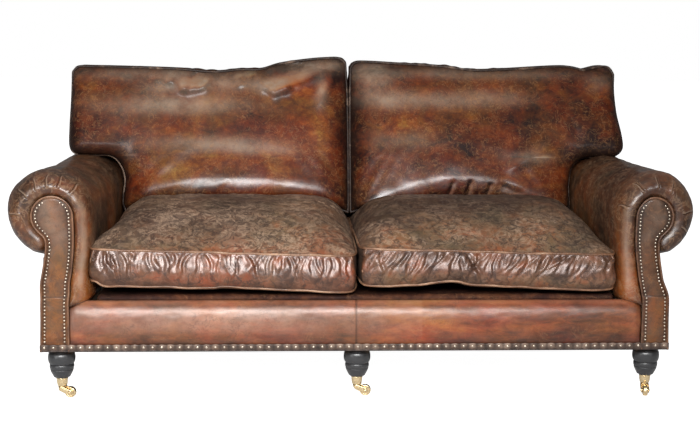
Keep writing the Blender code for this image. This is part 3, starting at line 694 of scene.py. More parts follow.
    # The closing strip stays behind the facing, on the frame's post.
    back = np.concatenate([level, (ends.mean() - level[-1]) * t[:, 0] + level[-1]])[:, None]
    close = np.stack(np.broadcast_arrays(arm["stripX"], faceY + back, arm["stripZ"]), -1)
    paint = ringPaint(grid, after=2, tone=tone, soil=soil, shine=shine, bloom=bloom)
    rings, faces = tube(np.concatenate([grid, close], 1))
    makePiece(word + "ArmPad", [(settle(rings, side), faces)], armHide,
              paint=paint, stands=word + "_arm")


# Each pleat: angle about the roll, where it starts and ends from the facing, and its lean.
pleatsLeft = [(181, 0.036, 0.100, 0.05), (137, 0.034, 0.098, -0.10), (112, 0.034, 0.098, 0.06),
              (91, 0.034, 0.098, 0.02), (68, 0.034, 0.100, -0.10), (43, 0.036, 0.102, -0.14)]
pleatsRight = [(164, 0.038, 0.098, 0.08), (126, 0.034, 0.100, 0.12), (92, 0.034, 0.098, 0.05),
               (62, 0.034, 0.104, 0.12), (4, 0.034, 0.104, 0.04), (333, 0.038, 0.100, -0.10)]
makeArm("left", -1, [(180 - angle, *rest) for angle, *rest in pleatsLeft], 11)
makeArm("right", 1, pleatsRight, 23)
print("arms made")

facing = dict(dome=0.0090, plinthTop=0.331, plinthStep=0.0030, cordRadius=0.0032,
              nailIn=0.0112, nailPitch=0.0109, nailRadius=0.0032, nailHeight=0.0026,
              nailFoot=0.028)


def insetOf(path, inset):
    # The outline moved inwards by its own normal in the plane of the facing.
    along = np.gradient(path, axis=0)
    along /= np.linalg.norm(along, axis=1)[:, None]
    return path + inset * np.stack([-along[:, 1], along[:, 0]], 1)


def panelFront(s, w, z):
    # Depth of the facing's skin: a low dome across it, flat at the foot where the band covers it.
    dome = facing["dome"] * (1 - np.abs(2 * w - 1) ** 2.2)
    return faceY + 0.0045 - dome * (1 - smoothStep(s, 0.93, 1.0)) * smoothStep(
        z, baseZ + 0.022, baseZ + 0.050)


def makeFacing(word, side, seed):
    # Rows join the outer half of the outline to the inner half at the same share of the way up.
    outline = facingEdge()
    half = len(outline) // 2
    top = np.argmax(outline[:, 1])
    outer = evenly(outline[:top + 1], half)
    inner = evenly(outline[top:][::-1], half)
    s = np.linspace(0, 1, half)[:, None]
    w = np.linspace(0, 1, 44)[None]
    ease = w - 0.40 * np.sin(2 * np.pi * w) / (2 * np.pi)
    flat = outer[:, None] + ease[..., None] * (inner - outer)[:, None]
    z = flat[..., 1]
    y = panelFront(s, ease, z)
    y = y - facing["plinthStep"] * (1 - smoothStep(z, facing["plinthTop"] - 0.004,
                                                  facing["plinthTop"] + 0.001))
    grid = np.stack([flat[..., 0], y, z], -1)
    grid[..., 1] += 0.0007 * waves(grid, 0.05, seed) * np.minimum(1, 4 * ease * (1 - ease))
    back = faceY + arm["facingThick"] - 0.001
    walls = [np.stack([flat[:, k, 0], np.full(half, back), flat[:, k, 1]], -1)[:, None]
             for k in (0, -1)]
    rings, faces = tube(np.concatenate([walls[0], grid, walls[1]], 1))
    edge = np.minimum(ease, 1 - ease)
    tone = 0.40 - 0.06 * smoothStep(z, 0.42, 0.56) + 0.06 * (1 - smoothStep(z, 0.38, 0.52))
    tone = tone + 0.10 * (1 - smoothStep(z, 0.32, 0.34))
    # The right facing is painted darker, as shade.
    tone = tone + 0.10 * np.exp(-((ease - 0.5) / 0.22) ** 2) - 0.14 * (1 + side)
    # Painted shade along the edge by the welt, along the nail rows and in the step above the
    # plinth.
    soil = 0.55 * np.exp(-edge / 0.035) + 0.55 * np.exp(-((edge - 0.13) / 0.050) ** 2)
    soil = soil + 0.6 * np.exp(-((z - facing["plinthTop"]) / 0.0018) ** 2)
    # The pale layer on the head: painted sheen and dusty bloom, less on the right facing.
    bloom = (0.35 - 0.12 * side) * smoothStep(z, 0.44, 0.54) * np.exp(-((ease - 0.45) / 0.35) ** 2)
    makePiece(word + "FacingPanel", [(settle(rings, side), faces)], facingHide,
              stands=word + "_arm_facing",
              paint=ringPaint(grid, 1, 1, tone=tone, soil=np.clip(soil, 0, 0.9), bloom=bloom))


def onFront(path, y, side):
    # A path in (x, z) set at a depth of the front and moved to its own arm.
    return settle(np.stack([path[:, 0], y + 0 * path[:, 0], path[:, 1]], -1), side)


def makeNails(name, centres, outward, look):
    makePiece(name, [studShells(centres, outward, look["nailRadius"], look["nailHeight"])],
              nailBrass)


def makeFacingTrim(word, side):
    # The welt follows the outline, and the nails an inset copy of it at an even pitch.
    welt = onFront(evenly(facingEdge(), 420), faceY + 0.0005, side)
    makePiece(word + "FacingPiping", [cordShell(welt, facing["cordRadius"], (0, -1, 0))],
              pipingHide, paint={"tone": 0.30 - 0.06 * side})
    row = insetOf(facingEdge(), facing["nailIn"])
    row = evenly(row, int(lengthAlong(row)[-1] / facing["nailPitch"]))
    row = row[row[:, 1] > baseZ + facing["nailFoot"]]
    y = faceY + 0.0008 - facing["plinthStep"] * (row[:, 1] < facing["plinthTop"])
    makeNails(word + "FacingNails", onFront(row, y, side), (0.0, -1.0, 0.0), facing)


for word, side, seed in (("left", -1, 31), ("right", 1, 37)):
    makeFacing(word, side, seed)
    makeFacingTrim(word, side)
print("facings made")


def foldAlong(x, z, start, end, width, height, sharp=1.0):
    # A ridge (or a valley, if height is negative) along the line from start to end: a bell shape
    # across the line, fading out over the last parts of its length.
    start, end = np.array(start), np.array(end)
    way = end - start
    length = np.hypot(*way)
    way = way / length
    along = ((x - start[0]) * way[0] + (z - start[1]) * way[1]) / length
    across = -(x - start[0]) * way[1] + (z - start[1]) * way[0]
    taper = smoothStep(along, -0.12, 0.22) * (1 - smoothStep(along, 0.72, 1.10))
    return height * taper * np.exp(-np.abs(across / width) ** (2.0 / sharp))


def blown(sheet, cells, look):
    # Cloth simulation of a coarse copy of a sheet held all round: air from behind swells it and
    # its own slack gathers into creases. The movement, capped, is spread over the fine sheet.
    rows, cols = sheet.shape[:2]
    down = np.linspace(0, rows - 1, cells[0]).round().astype(int)
    across = np.linspace(0, cols - 1, cells[1]).round().astype(int)
    start = sheet[np.ix_(down, across)]
    mesh = bpy.data.meshes.new("simulated sheet")
    faces = gridFaces(*start.shape[:2])
    normal = gridNormals(start)
    if (normal[1:-1, 1:-1] * look["outward"]).sum(-1).mean() < 0:
        faces = faces[:, ::-1]
    mesh.from_pydata(start.reshape(-1, 3).tolist(), [], faces.tolist())
    obj = bpy.data.objects.new("simulated sheet", mesh)
    scene = bpy.context.scene
    scene.collection.objects.link(obj)
    held = obj.vertex_groups.new(name="held")
    order = np.arange(start.shape[0] * start.shape[1]).reshape(start.shape[:2])
    held.add(rimOf(order).tolist(), 1.0, "REPLACE")
    cloth = obj.modifiers.new("cloth", "CLOTH")
    skin = cloth.settings
    skin.vertex_group_mass = "held"
    skin.quality = 6
    skin.mass = 0.4
    skin.tension_stiffness = skin.compression_stiffness = look["stiffness"]
    skin.shear_stiffness = look["stiffness"] / 3
    skin.bending_stiffness = look["bending"]
    skin.use_pressure = True
    skin.uniform_pressure_force = look["pressure"]
    skin.shrink_min = -look["slack"]
    skin.effector_weights.gravity = 0.0
    cloth.collision_settings.use_collision = False
    for step in range(1, 21):
        scene.frame_set(step)
    shaped = obj.evaluated_get(bpy.context.evaluated_depsgraph_get())
    moved = np.empty(start.size, np.float32)
    shaped.data.vertices.foreach_get("co", moved)
    move = moved.reshape(start.shape) - start
    size = np.linalg.norm(move, axis=-1, keepdims=True)
    print("swelled", round(float(size.max()) * 1000, 1), "mm at most,",
          round(float(size.mean()) * 1000, 1), "mm on average")
    move *= np.minimum(1.0, look["cap"] / np.maximum(size, 1e-9))
    scene.frame_set(1)
    bpy.data.objects.remove(obj)
    bpy.data.meshes.remove(mesh)
    rowAt, colAt = np.arange(rows), np.arange(cols)
    wide = np.stack([[np.interp(colAt, across, line) for line in move[..., k]]
                     for k in range(3)], -1)
    tall = np.stack([np.stack([np.interp(rowAt, down, wide[:, j, k]) for j in range(cols)], 1)
                     for k in range(3)], -1)
    return sheet + look["share"] * tall


backCushion = dict(
    across=220, up=150, border=18,             # points over the front, and round the border
    footZ=0.532, topZ=1.02,
    seamFoot=0.655, seamTop=0.808,             # depth of the front seam behind the facings
    middle=0.4035, half=0.401, rimWidth=0.115, footDrop=0.036, earLean=-0.06,
    rearGap=0.012, cordRadius=0.0048,
    cells=(76, 110), leather=dict(outward=(0, -1, 0), stiffness=30.0, bending=2.0, pressure=1.5,
                                  slack=0.006, cap=0.024, share=0.30),
)

# Outline of each back cushion in (distance from the middle, height), how far it swells at each
# share of the way up, and its folds.
leftBack = dict(
    side=-1,
    top=[(0.0120, 1.030), (0.0350, 1.046), (0.0800, 1.046), (0.1500, 1.040), (0.2500, 1.025),
         (0.3200, 1.005), (0.4000, 1.003), (0.4900, 0.995), (0.6200, 1.004), (0.8000, 1.009),
         (0.9300, 1.011), (0.9770, 1.010), (0.9970, 0.992)],
    outer=[(0.7950, 0.536), (0.8060, 0.575), (0.8000, 0.630), (0.8180, 0.672), (0.8560, 0.698),
           (0.9150, 0.701), (0.9680, 0.703), (0.9950, 0.726), (0.9990, 0.800), (0.9970, 0.900),
           (0.9970, 0.992)],
    inner=[(0.0050, 0.534), (0.0040, 0.700), (0.0060, 0.900), (0.0120, 1.030)],
    # start, end, width, height, sharpness
    folds=[((-0.71, 0.975), (-0.63, 0.965), 0.016, 0.007, 1.0),
           ((-0.65, 0.978), (-0.58, 0.932), 0.024, 0.016, 1.0),
           ((-0.60, 0.932), (-0.50, 0.956), 0.024, 0.017, 1.1),
           ((-0.56, 0.995), (-0.52, 0.955), 0.022, -0.012, 1.0),
           ((-0.40, 0.985), (-0.385, 0.940), 0.018, 0.006, 1.0),
           ((-0.36, 1.000), (-0.28, 0.930), 0.024, 0.018, 1.1),
           ((-0.29, 0.925), (-0.21, 0.955), 0.025, 0.020, 1.1),
           ((-0.23, 0.950), (-0.03, 1.020), 0.028, 0.014, 1.0),
           ((-0.31, 0.980), (-0.14, 1.005), 0.034, -0.015, 1.0),
           ((-0.04, 1.010), (-0.12, 0.870), 0.020, 0.008, 1.0),
           ((-0.78, 0.700), (-0.60, 0.660), 0.024, 0.0010, 1.0)],
    # Pale streaks of dusty bloom and painted sheen: middle, half width, half height, amount.
    bloom=[(-0.66, 0.995, 0.30, 0.030, 0.60), (-0.62, 0.880, 0.24, 0.034, 0.70),
           (-0.50, 0.745, 0.20, 0.024, 0.50), (-0.29, 0.945, 0.045, 0.030, 0.65),
           (-0.46, 0.950, 0.12, 0.026, 0.50), (-0.14, 1.020, 0.12, 0.024, 0.50),
           (-0.66, 0.940, 0.08, 0.020, 0.50), (-0.34, 0.725, 0.12, 0.022, 0.45),
           (-0.10, 0.930, 0.020, 0.050, 0.50)],
    patina=[(-0.91, 0.93, 0.06, 0.20), (-0.88, 0.80, 0.10, 0.00), (-0.20, 0.94, 0.07, 0.26),
            (-0.55, 0.915, 0.07, 0.20), (-0.14, 0.78, 0.11, 0.26), (-0.30, 0.68, 0.10, 0.16),
            (-0.60, 0.67, 0.09, 0.12), (-0.84, 0.66, 0.05, 0.10), (-0.48, 0.81, 0.16, 0.10),
            (-0.80, 0.72, 0.07, -0.20), (-0.62, 0.82, 0.14, -0.16), (-0.95, 0.73, 0.09, -0.30),
            (-0.40, 0.555, 0.34, 0.10)],
    shine=[(-0.36, 0.616, 0.15, 0.032, 0.84), (-0.52, 0.604, 0.11, 0.030, 0.66),
           (-0.20, 0.606, 0.10, 0.030, 0.70)],
    bulge=[(0.0, 0.0), (0.02, 0.034), (0.045, 0.055), (0.075, 0.067), (0.105, 0.0720),
           (0.14, 0.0735), (0.18, 0.0725), (0.25, 0.0690), (0.50, 0.0625), (0.70, 0.0560),
           (0.85, 0.0470), (0.93, 0.0350), (0.97, 0.0220), (1.0, 0.0)],
    sweep=(-0.40, 0.0), edges=(0.30, 0.36),
    seed=41)
rightBack = dict(
    side=1,
    top=[(0.0080, 1.012), (0.0250, 1.031), (0.0700, 1.034), (0.1900, 1.028), (0.3400, 1.020),
         (0.4500, 1.007), (0.5600, 1.009), (0.7800, 1.022), (0.8400, 1.016), (0.8700, 1.010),
         (0.9240, 1.022), (0.9610, 1.020), (0.9790, 0.996)],
    outer=[(0.7950, 0.536), (0.7960, 0.575), (0.7980, 0.630), (0.8150, 0.674), (0.8600, 0.698),
           (0.9150, 0.696), (0.9650, 0.702), (0.9960, 0.728), (0.9960, 0.775), (0.9820, 0.850),
           (0.9760, 0.930), (0.9790, 0.996)],
    inner=[(0.0050, 0.534), (0.0040, 0.700), (0.0050, 0.900), (0.0080, 1.012)],
    folds=[((0.37, 0.620), (0.350, 0.560), 0.008, -0.0040, 1.0),
           ((0.43, 0.620), (0.418, 0.555), 0.009, -0.0050, 1.0),
           ((0.50, 0.610), (0.488, 0.565), 0.008, -0.0035, 1.0),
           ((0.53, 0.605), (0.62, 0.570), 0.014, -0.0045, 1.0),
           ((0.56, 0.655), (0.72, 0.735), 0.020, 0.006, 1.0)],
    # Pale streaks of dusty bloom and painted sheen: middle, half width, half height, amount.
    bloom=[(0.09, 0.985, 0.06, 0.050, 0.75), (0.14, 0.900, 0.07, 0.030, 0.60),
           (0.45, 1.000, 0.34, 0.022, 0.50), (0.30, 0.900, 0.22, 0.030, 0.45),
           (0.20, 0.760, 0.12, 0.030, 0.30), (0.64, 0.700, 0.08, 0.018, 0.40),
           (0.52, 0.910, 0.12, 0.030, 0.30), (0.92, 0.965, 0.05, 0.030, 0.30)],
    patina=[(0.19, 0.83, 0.05, 0.24), (0.26, 0.94, 0.09, 0.14), (0.88, 0.93, 0.05, 0.12),
            (0.89, 0.83, 0.05, 0.02), (0.80, 0.85, 0.14, -0.14), (0.45, 0.83, 0.06, 0.14),
            (0.57, 0.74, 0.05, 0.14), (0.84, 0.62, 0.04, 0.20), (0.70, 0.66, 0.06, 0.14),
            (0.55, 0.92, 0.12, 0.08),
            (0.67, 0.86, 0.09, -0.16), (0.03, 0.70, 0.05, -0.12), (0.03, 0.90, 0.04, -0.26),
            (0.90, 0.74, 0.08, -0.40), (0.46, 0.75, 0.09, -0.12), (0.78, 0.72, 0.06, -0.14)],
    shine=[(0.12, 0.570, 0.06, 0.040, 1.0), (0.22, 0.592, 0.07, 0.044, 1.0),
           (0.33, 0.610, 0.08, 0.044, 1.0), (0.45, 0.612, 0.06, 0.034, 0.8),
           (0.55, 0.600, 0.06, 0.026, 0.4)],
    bulge=[(0.0, 0.0), (0.02, 0.032), (0.05, 0.052), (0.09, 0.064), (0.12, 0.0698),
           (0.16, 0.0728), (0.21, 0.0730), (0.30, 0.0700), (0.50, 0.0635), (0.70, 0.0565),
           (0.85, 0.0470), (0.93, 0.0350), (0.97, 0.0220), (1.0, 0.0)],
    sweep=(0.40, 0.10), edges=(0.40, 0.30),
    seed=53)


def seamDepth(z):
    # Depth of the front seam: it leans back in a straight line from the foot to the top.
    c = backCushion
    t = (z - c["footZ"]) / (c["topZ"] - c["footZ"])
    return faceY + c["seamFoot"] + (c["seamTop"] - c["seamFoot"]) * t


def cushionFlat(shape):
    # A Coons patch over the outline: straight across from the inner side to the outer side,
    # shifted by how far the top edge strays from straight.
    c = backCushion
    outer = curveThrough(shape["outer"], c["up"])
    inner = curveThrough(shape["inner"], 400)
    # The inner side keeps level with the outer one, but never falls behind under the ear.
    step = 0.0014 * np.arange(len(outer))
    level = np.maximum.accumulate(outer[:, 1] - step) + step
    level = level + (inner[-1, 1] - level[-1]) * smoothStep(level, 0.60, level[-1])
    inner = np.stack([np.interp(level, inner[:, 1], inner[:, 0]), level], -1)
    top = curveThrough(shape["top"], 600)
    a = np.linspace(0, 1, c["across"])
    flat = inner[:, None] * (1 - a)[None, :, None] + outer[:, None] * a[None, :, None]
    straight = inner[-1] * (1 - a)[:, None] + outer[-1] * a[:, None]
    length = lengthAlong(top)
    at = a * length[-1]
    bend = np.stack([np.interp(at, length, top[:, k]) for k in (0, 1)], -1) - straight
    b = np.linspace(0, 1, c["up"])
    flat = flat + (smoothStep(b, 0.45, 1.0) * b)[:, None, None] * bend[None]
    # The foot hangs lower at both ends, where the seat cushion's crown falls away.
    fall = np.abs((flat[..., 0] - c["middle"]) / c["half"]) ** 5
    flat[..., 1] -= c["footDrop"] * fall * (1 - smoothStep(b, 0.0, 0.30))[:, None]
    return flat, a[None], b[:, None]


def makeBackCushion(word, shape):
    c = backCushion
    flat, a, b = cushionFlat(shape)
    x, z = flat[..., 0], flat[..., 1]
    signedX = shape["side"] * x
    # The foot's roll is highest over the middle of the seat and sinks towards both ends.
    rise = np.clip((z - z[:1]) / (c["topZ"] - c["footZ"]), 0, 1)
    rise = rise + smoothStep(rise, 0.0, 0.08) * shape["sweep"][1] * np.minimum(1.4, np.abs(
        (signedX - shape["sweep"][0]) / 0.29) ** 1.6) * (1 - smoothStep(rise, 0.2, 0.6))
    lift = curveThrough(shape["bulge"], 200)
    bulge = np.interp(rise, lift[:, 0], lift[:, 1])
    # Fullness: a rounded rise with the distance from the outline's two sides.
    near = np.full(x.shape, 9.0)
    for line in (flat[:, -1], flat[:, 0]):
        for start, end in zip(line[:-1], line[1:]):
            way = end - start
            t = np.clip(((x - start[0]) * way[0] + (z - start[1]) * way[1]) / (way @ way + 1e-12),
                        0, 1)
            near = np.minimum(near, np.hypot(x - start[0] - t * way[0], z - start[1] - t * way[1]))
    near = near * (1 + 1.2 * smoothStep(x, 0.76, 0.86))
    sides = np.sqrt(1 - (1 - np.clip(near / c["rimWidth"], 0, 1)) ** 2.2)
    soft = smoothStep(b, 0.0, 0.05) * (1 - smoothStep(b, 0.93, 1.0))
    crownOf = sides * np.sqrt(np.clip(soft, 0, 1))
    front = seamDepth(z) - bulge * sides - 0.010 * crownOf
    front = front + c["earLean"] * smoothStep(x, 0.79, 0.90) * np.maximum(0, 0.86 - z) * (
        smoothStep(z, 0.640, 0.700))
    grid = blown(np.stack([signedX, front, z], -1), c["cells"], c["leather"])

    inside = np.minimum(1.0, 3.0 * crownOf)
    move = 0.0022 * waves(grid * (0.5, 1, 1), 0.40, shape["seed"]) * smoothStep(z, 0.60, 0.72)
    move = move + 0.0002 * waves(grid, 0.08, shape["seed"] + 1)
    folded = 0 * z
    for start, end, width, height, sharp in shape["folds"]:
        folded = folded + foldAlong(signedX, z, start, end, width, height, sharp)
    slope = np.tanh(0.9 * np.gradient(folded, axis=0) / np.gradient(z, axis=0)
                    - 0.5 * np.gradient(folded, axis=1) / np.gradient(signedX, axis=1))
    move = move + folded
    move = move - 0.0022 * np.maximum(0, waves(grid * (1, 0.3, 0.3), 0.035, shape["seed"] + 2)
                                      ) * np.exp(-((b - 0.985) / 0.03) ** 2)
    grid[..., 1] -= move * inside

    tone = 0.39 + 1.2 * dabs(signedX, z, shape["patina"], 1.6)
    tone = tone - 0.10 * smoothStep(z, 0.93, 1.02) - 0.16 * (1 - smoothStep(z, 0.56, 0.62))
    # Painted shade on the undersides of the folds, and painted sheen on their upper sides.
    tone = tone - 0.95 * slope
    bloom = 0.80 * np.clip(-slope, 0, 1) + sum(streaks(signedX, z, shape["bloom"]))
    shine = np.max([0.5 * np.abs(slope), *streaks(signedX, z, shape["shine"])], axis=0)
    # Painted shade along the inner and outer edges, where the front turns away.
    tone = tone - shape["edges"][0] * np.exp(-(a / 0.040) ** 2) - shape["edges"][1] * np.exp(
        -((1 - a) / 0.035) ** 2)
    rim = np.minimum(np.minimum(a, 1 - a) * 1.0, np.minimum(b, 1 - b) * 0.55)
    soil = 0.75 * np.exp(-(rim / 0.016) ** 1.2)
    # Painted shade under the ear.
    underEar = smoothStep(x, 0.78, 0.84) * (1 - smoothStep(z, 0.715, 0.775))
    soil = np.maximum(soil, 0.66 * underEar)

    # The border runs back from the front seam, and the rear panel is a plain low crown.
    rimBack = np.minimum(backPlane(z) - c["rearGap"], seamDepth(z) + 0.21)
    rear = rimBack + 0.010 * (crownOf - 0.5)
    back = np.stack([signedX, rear, z], -1)
    steps = np.linspace(0, 1, c["border"])[:, None, None]
    near, far = rimOf(grid)[None], rimOf(back)[None]
    band = near + (far - near) * steps
    centre = band.mean(1, keepdims=True)
    outward = band - centre
    outward[..., 1] = 0
    outward /= np.maximum(np.linalg.norm(outward, axis=-1), 1e-9)[..., None]
    puff = 0.006 * np.sin(np.pi * steps) + 0.0016 * waves(band, 0.05, shape["seed"] + 5)[
        ..., None] * np.sin(np.pi * steps)
    band = band + outward * puff
    shells = bag(grid, band, back)
    # The band round the sides is painted dark, as the shade of sides turned away; the rear panel is
    # darker too.
    makePiece(word + "BackCushion", shells, backHide,
              stands=word + "_back_cushion",
              paint=bagPaint(shells, tone=(tone, 0.12, 0.30), soil=(soil, 0.55, 0.35),
                             bloom=(bloom, 0, 0), shine=(shine, 0, 0)))

    lean = (0.0, -1.0, 0.35)
    welts = []
    for loop, drop in ((rimOf(grid), 0.0015), (rimOf(back), -0.0015)):
        path = evenly(np.concatenate([loop, loop[:1]]), 560, closed=True)
        path[:, 1] -= drop
        welts.append(cordShell(path, c["cordRadius"], lean, 10, closed=True))
    points = np.concatenate([w[0].reshape(-1, 3) for w in welts])
    bare = smoothStep(np.abs(points[:, 0]), 0.76, 0.80) * (1 - smoothStep(points[:, 2], 0.69, 0.72))
    makePiece(word + "BackPiping", welts, darkPiping,
              paint={"tone": 0.42 + 0.18 * bare})


makeBackCushion("left", leftBack)
makeBackCushion("right", rightBack)
print("back cushions made")


seatCushion = dict(
    across=170, deep=150, border=30,           # points over the top, and rows down the border
    corner=0.016,                              # how far each corner is pulled in
    crown=0.0985, peak=0.35, belly=0.014,      # the crown's rise, and where along the depth
    frontBulge=0.018, sideBulge=0.001,
    boxShape=[(0.0, 0.0), (0.30, 0.62), (0.50, 0.92), (0.62, 1.0), (0.80, 0.80), (1.0, 0.0)],
    rearSeam=0.468, rearFoot=0.350, cordRadius=0.0038, puckers=44,
    cells=(100, 110), leather=dict(outward=(0, 0, 1), stiffness=30.0, bending=1.0, pressure=2.0,
                                   slack=0.020, cap=0.024, share=0.6),
    boxing=dict(outward=(0, -1, 0), stiffness=40.0, bending=1.5, pressure=3.0, slack=0.02,
                cap=0.008, share=0.35),
)
leftSeat = dict(
    side=-1, seed=61, tone=0.24, bloom=0.10, spread=0.027, topFront=(0.476, 0.455),
    low=[(0.0, 0.376), (0.035, 0.363), (0.12, 0.363), (0.42, 0.357), (0.50, 0.359), (0.75, 0.349),
         (0.965, 0.341), (1.0, 0.356)],
    lean=-0.05, leanSpread=0.22, deep=0.072,
    extra=[(0.010, 0.34, 0.115, 0.008, 0.0050), (0.036, 0.50, 0.115, 0.006, 0.0060),
           (0.060, 0.22, 0.110, 0.006, 0.0050), (0.090, 0.30, 0.110, 0.006, 0.0045),
           (0.250, 0.05, 0.095, 0.005, 0.0050), (0.560, -0.30, 0.080, 0.006, 0.0040)],
    creases=[((-0.528, -0.410), (-0.515, -0.270), 0.0050, -0.0085),
             ((-0.540, -0.405), (-0.530, -0.290), 0.0050, 0.0040),
             ((-0.700, -0.410), (-0.690, -0.280), 0.0050, -0.0070),
             ((-0.716, -0.400), (-0.708, -0.300), 0.0045, -0.0045)],
    patina=[(-0.30, -0.45, 0.16, 0.20), (-0.12, -0.40, 0.10, 0.30), (-0.10, -0.15, 0.14, 0.24),
            (-0.40, -0.48, 0.30, 0.16), (-0.45, -0.10, 0.22, -0.16), (-0.60, -0.30, 0.15, -0.06),
            (-0.30, 0.10, 0.25, -0.12)])
rightSeat = dict(
    side=1, seed=67, tone=0.17, bloom=0.02, spread=0.006, topFront=(0.478, 0.458),
    low=[(0.0, 0.374), (0.035, 0.361), (0.22, 0.366), (0.36, 0.378), (0.44, 0.366), (0.60, 0.360),
         (0.960, 0.347), (1.0, 0.366)],
    lean=-0.55, leanSpread=0.30, deep=0.080,
    extra=[(0.040, 0.10, 0.110, 0.008, 0.0050), (0.120, -0.70, 0.100, 0.010, 0.0060),
           (0.300, 0.55, 0.110, 0.012, 0.0075), (0.345, -0.35, 0.110, 0.010, 0.0070),
           (0.560, -0.65, 0.100, 0.009, 0.0065), (0.780, -0.25, 0.075, 0.009, 0.0065)],
    creases=[((0.30, -0.47), (0.34, -0.43), 0.0100, 0.0040)],
    patina=[(0.28, -0.36, 0.12, 0.32), (0.14, -0.42, 0.08, 0.28), (0.40, -0.38, 0.10, 0.36),
            (0.62, -0.38, 0.10, 0.34), (0.72, -0.25, 0.12, 0.24), (0.30, -0.10, 0.22, -0.14),
            (0.60, 0.05, 0.22, -0.10), (0.40, -0.47, 0.35, 0.14)])


def makeSeatCushion(word, shape):
    c = seatCushion
    (x0, y0, _), (x1, y1, _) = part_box(word + "_seat_cushion")
    x0, x1 = x0 + 0.0005, x1 - 0.0005
    y0, y1 = y0 + 0.004, y1 - 0.004
    u = np.linspace(-1, 1, c["across"])[None]
    v = np.linspace(-1, 1, c["deep"])[:, None]
    halfX, halfY = (x1 - x0) / 2, (y1 - y0) / 2
    x = (x0 + x1) / 2 + halfX * u * (1 - c["corner"] / halfX * np.abs(v) ** 16)
    x = x + shape["side"] * shape["spread"] * smoothStep(shape["side"] * u, 0.3, 1.0) * smoothStep(
        -v, 0.15, 0.90)
    y = (y0 + y1) / 2 + halfY * v * (1 - c["corner"] / halfY * np.abs(u) ** 16)
    share = (x - x0) / (x1 - x0)
    front = shape["topFront"][0] + (shape["topFront"][1] - shape["topFront"][0]) * share
    seamZ = front + (c["rearSeam"] - front) * smoothStep((v + 1) / 2, 0.0, 0.7)
    low = curveThrough(shape["low"], 200)
    lowZ = np.interp(share, low[:, 0], low[:, 1])
    lowZ = lowZ + (c["rearFoot"] - lowZ) * smoothStep((v + 1) / 2, 0.0, 0.35)

    # Crown: 1 less a high power towards each seam, so the top is full and drops near the edge.
    ahead = np.clip((c["peak"] - v) / (1 + c["peak"]), 0, 1)
    behind = np.clip((v - c["peak"]) / (1 - c["peak"]), 0, 1)
    full = 0.90 * (1 - np.abs(u) ** 13) + 0.10 * (1 - u ** 2)
    full = full * (1 - ahead ** 2.8 - behind ** 1.7)
    top = np.stack([x, y, seamZ + c["crown"] * full], -1)
    inside = np.minimum(1.0, 6.0 * full)
    move = 0.0018 * waves(top, 0.22, shape["seed"]) + 0.0006 * waves(top, 0.05, shape["seed"] + 1)
    for start, end, width, height in shape["creases"]:
        move = move + foldAlong(x, y, start, end, width, height)
    top[..., 2] += move * inside
    top = blown(top, c["cells"], c["leather"])
    # The underside's rim keeps to the lower seam.
    onRim = (np.abs(u) == 1) | (np.abs(v) == 1)
    bottom = np.stack([x, y, lowZ - c["belly"] * np.minimum(1, 5 * full) * ~onRim], -1)
    upper, lower = rimOf(top), rimOf(bottom)
    t = np.linspace(0, 1, c["border"])[:, None]
    band = upper[None] + (lower - upper)[None] * t[..., None]
    along = np.roll(upper, -1, 0) - np.roll(upper, 1, 0)
    outward = np.stack([along[:, 1], -along[:, 0]], -1)
    outward /= np.linalg.norm(outward, axis=1)[:, None]
    ahead = smoothStep(-outward[:, 1], 0.2, 0.9)[None]      # now 1 along the front border
    height = (upper[:, 2] - lower[:, 2])[None] * t
    reach = lengthAlong(upper)

    # Puckers: leaning ridges that start at the top seam, die away below, and have a sharp
    # valley on one side. Their places are a jittered row, with a few large ones listed.
    rng = np.random.default_rng(shape["seed"])
    count = c["puckers"]
    places = (np.arange(count) + rng.uniform(-0.42, 0.42, count)) / (count - 1) * (x1 - x0)
    leans = shape["lean"] + shape["leanSpread"] * rng.normal(size=count)
    lengths = shape["deep"] * rng.uniform(0.8, 1.7, count)
    widths = rng.uniform(0.0042, 0.0080, count)
    sizes = rng.uniform(0.0026, 0.0054, count)
    rows = [*zip(places, leans, lengths, widths, sizes), *shape["extra"]]
    puckers = 0 * height
    for place, lean, length, width, size in rows:
        across = reach[None] - place - lean * height - 0.004 * np.sin(height * 90 + place * 50)
        window = smoothStep(height, 0.0, 0.014) * (1 - smoothStep(height, 0.5 * length, length))
        ridge = 0.6 * np.exp(-(across / width) ** 2) - np.exp(-((across - 1.6 * width)
                                                                / (0.6 * width)) ** 2)
        puckers = puckers + size * window * ridge
    profile = curveThrough(c["boxShape"], 80)
    bulge = (c["sideBulge"] + (c["frontBulge"] - c["sideBulge"]) * ahead) * np.interp(
        t, profile[:, 0], profile[:, 1])
    ends = smoothStep(t, 0.0, 0.06) * (1 - smoothStep(t, 0.90, 1.0))
    swell = bulge + puckers * (0.12 + 0.88 * ahead) * ends
    swell = swell + 0.0006 * waves(band, 0.05, shape["seed"] + 3) * ends * (0.2 + 0.8 * ahead)
    band[..., :2] += outward[None] * swell[..., None]
    onFace = c["across"]
    band[:, :onFace] = blown(band[:, :onFace], (c["border"], onFace), c["boxing"])

    tone = shape["tone"] + dabs(x, y, shape["patina"], 1.5)
    tone = tone + 0.16 * smoothStep(-v, 0.90, 0.985)
    # Patches of the pale layer over the top: dusty bloom and painted sheen, less on the right
    # cushion and at the front edge.
    dustAndSheen = smoothStep(waves(top, 0.26, shape["seed"] + 11), -0.3, 1.2)
    bloom = shape["bloom"] + (0.20 - 0.06 * shape["side"]) * dustAndSheen - 0.08 * smoothStep(
        -v, 0.88, 0.97)
    edge = np.minimum(1 - np.abs(u), 1 - np.abs(v))
    soil = 0.45 * np.exp(-edge / 0.012)
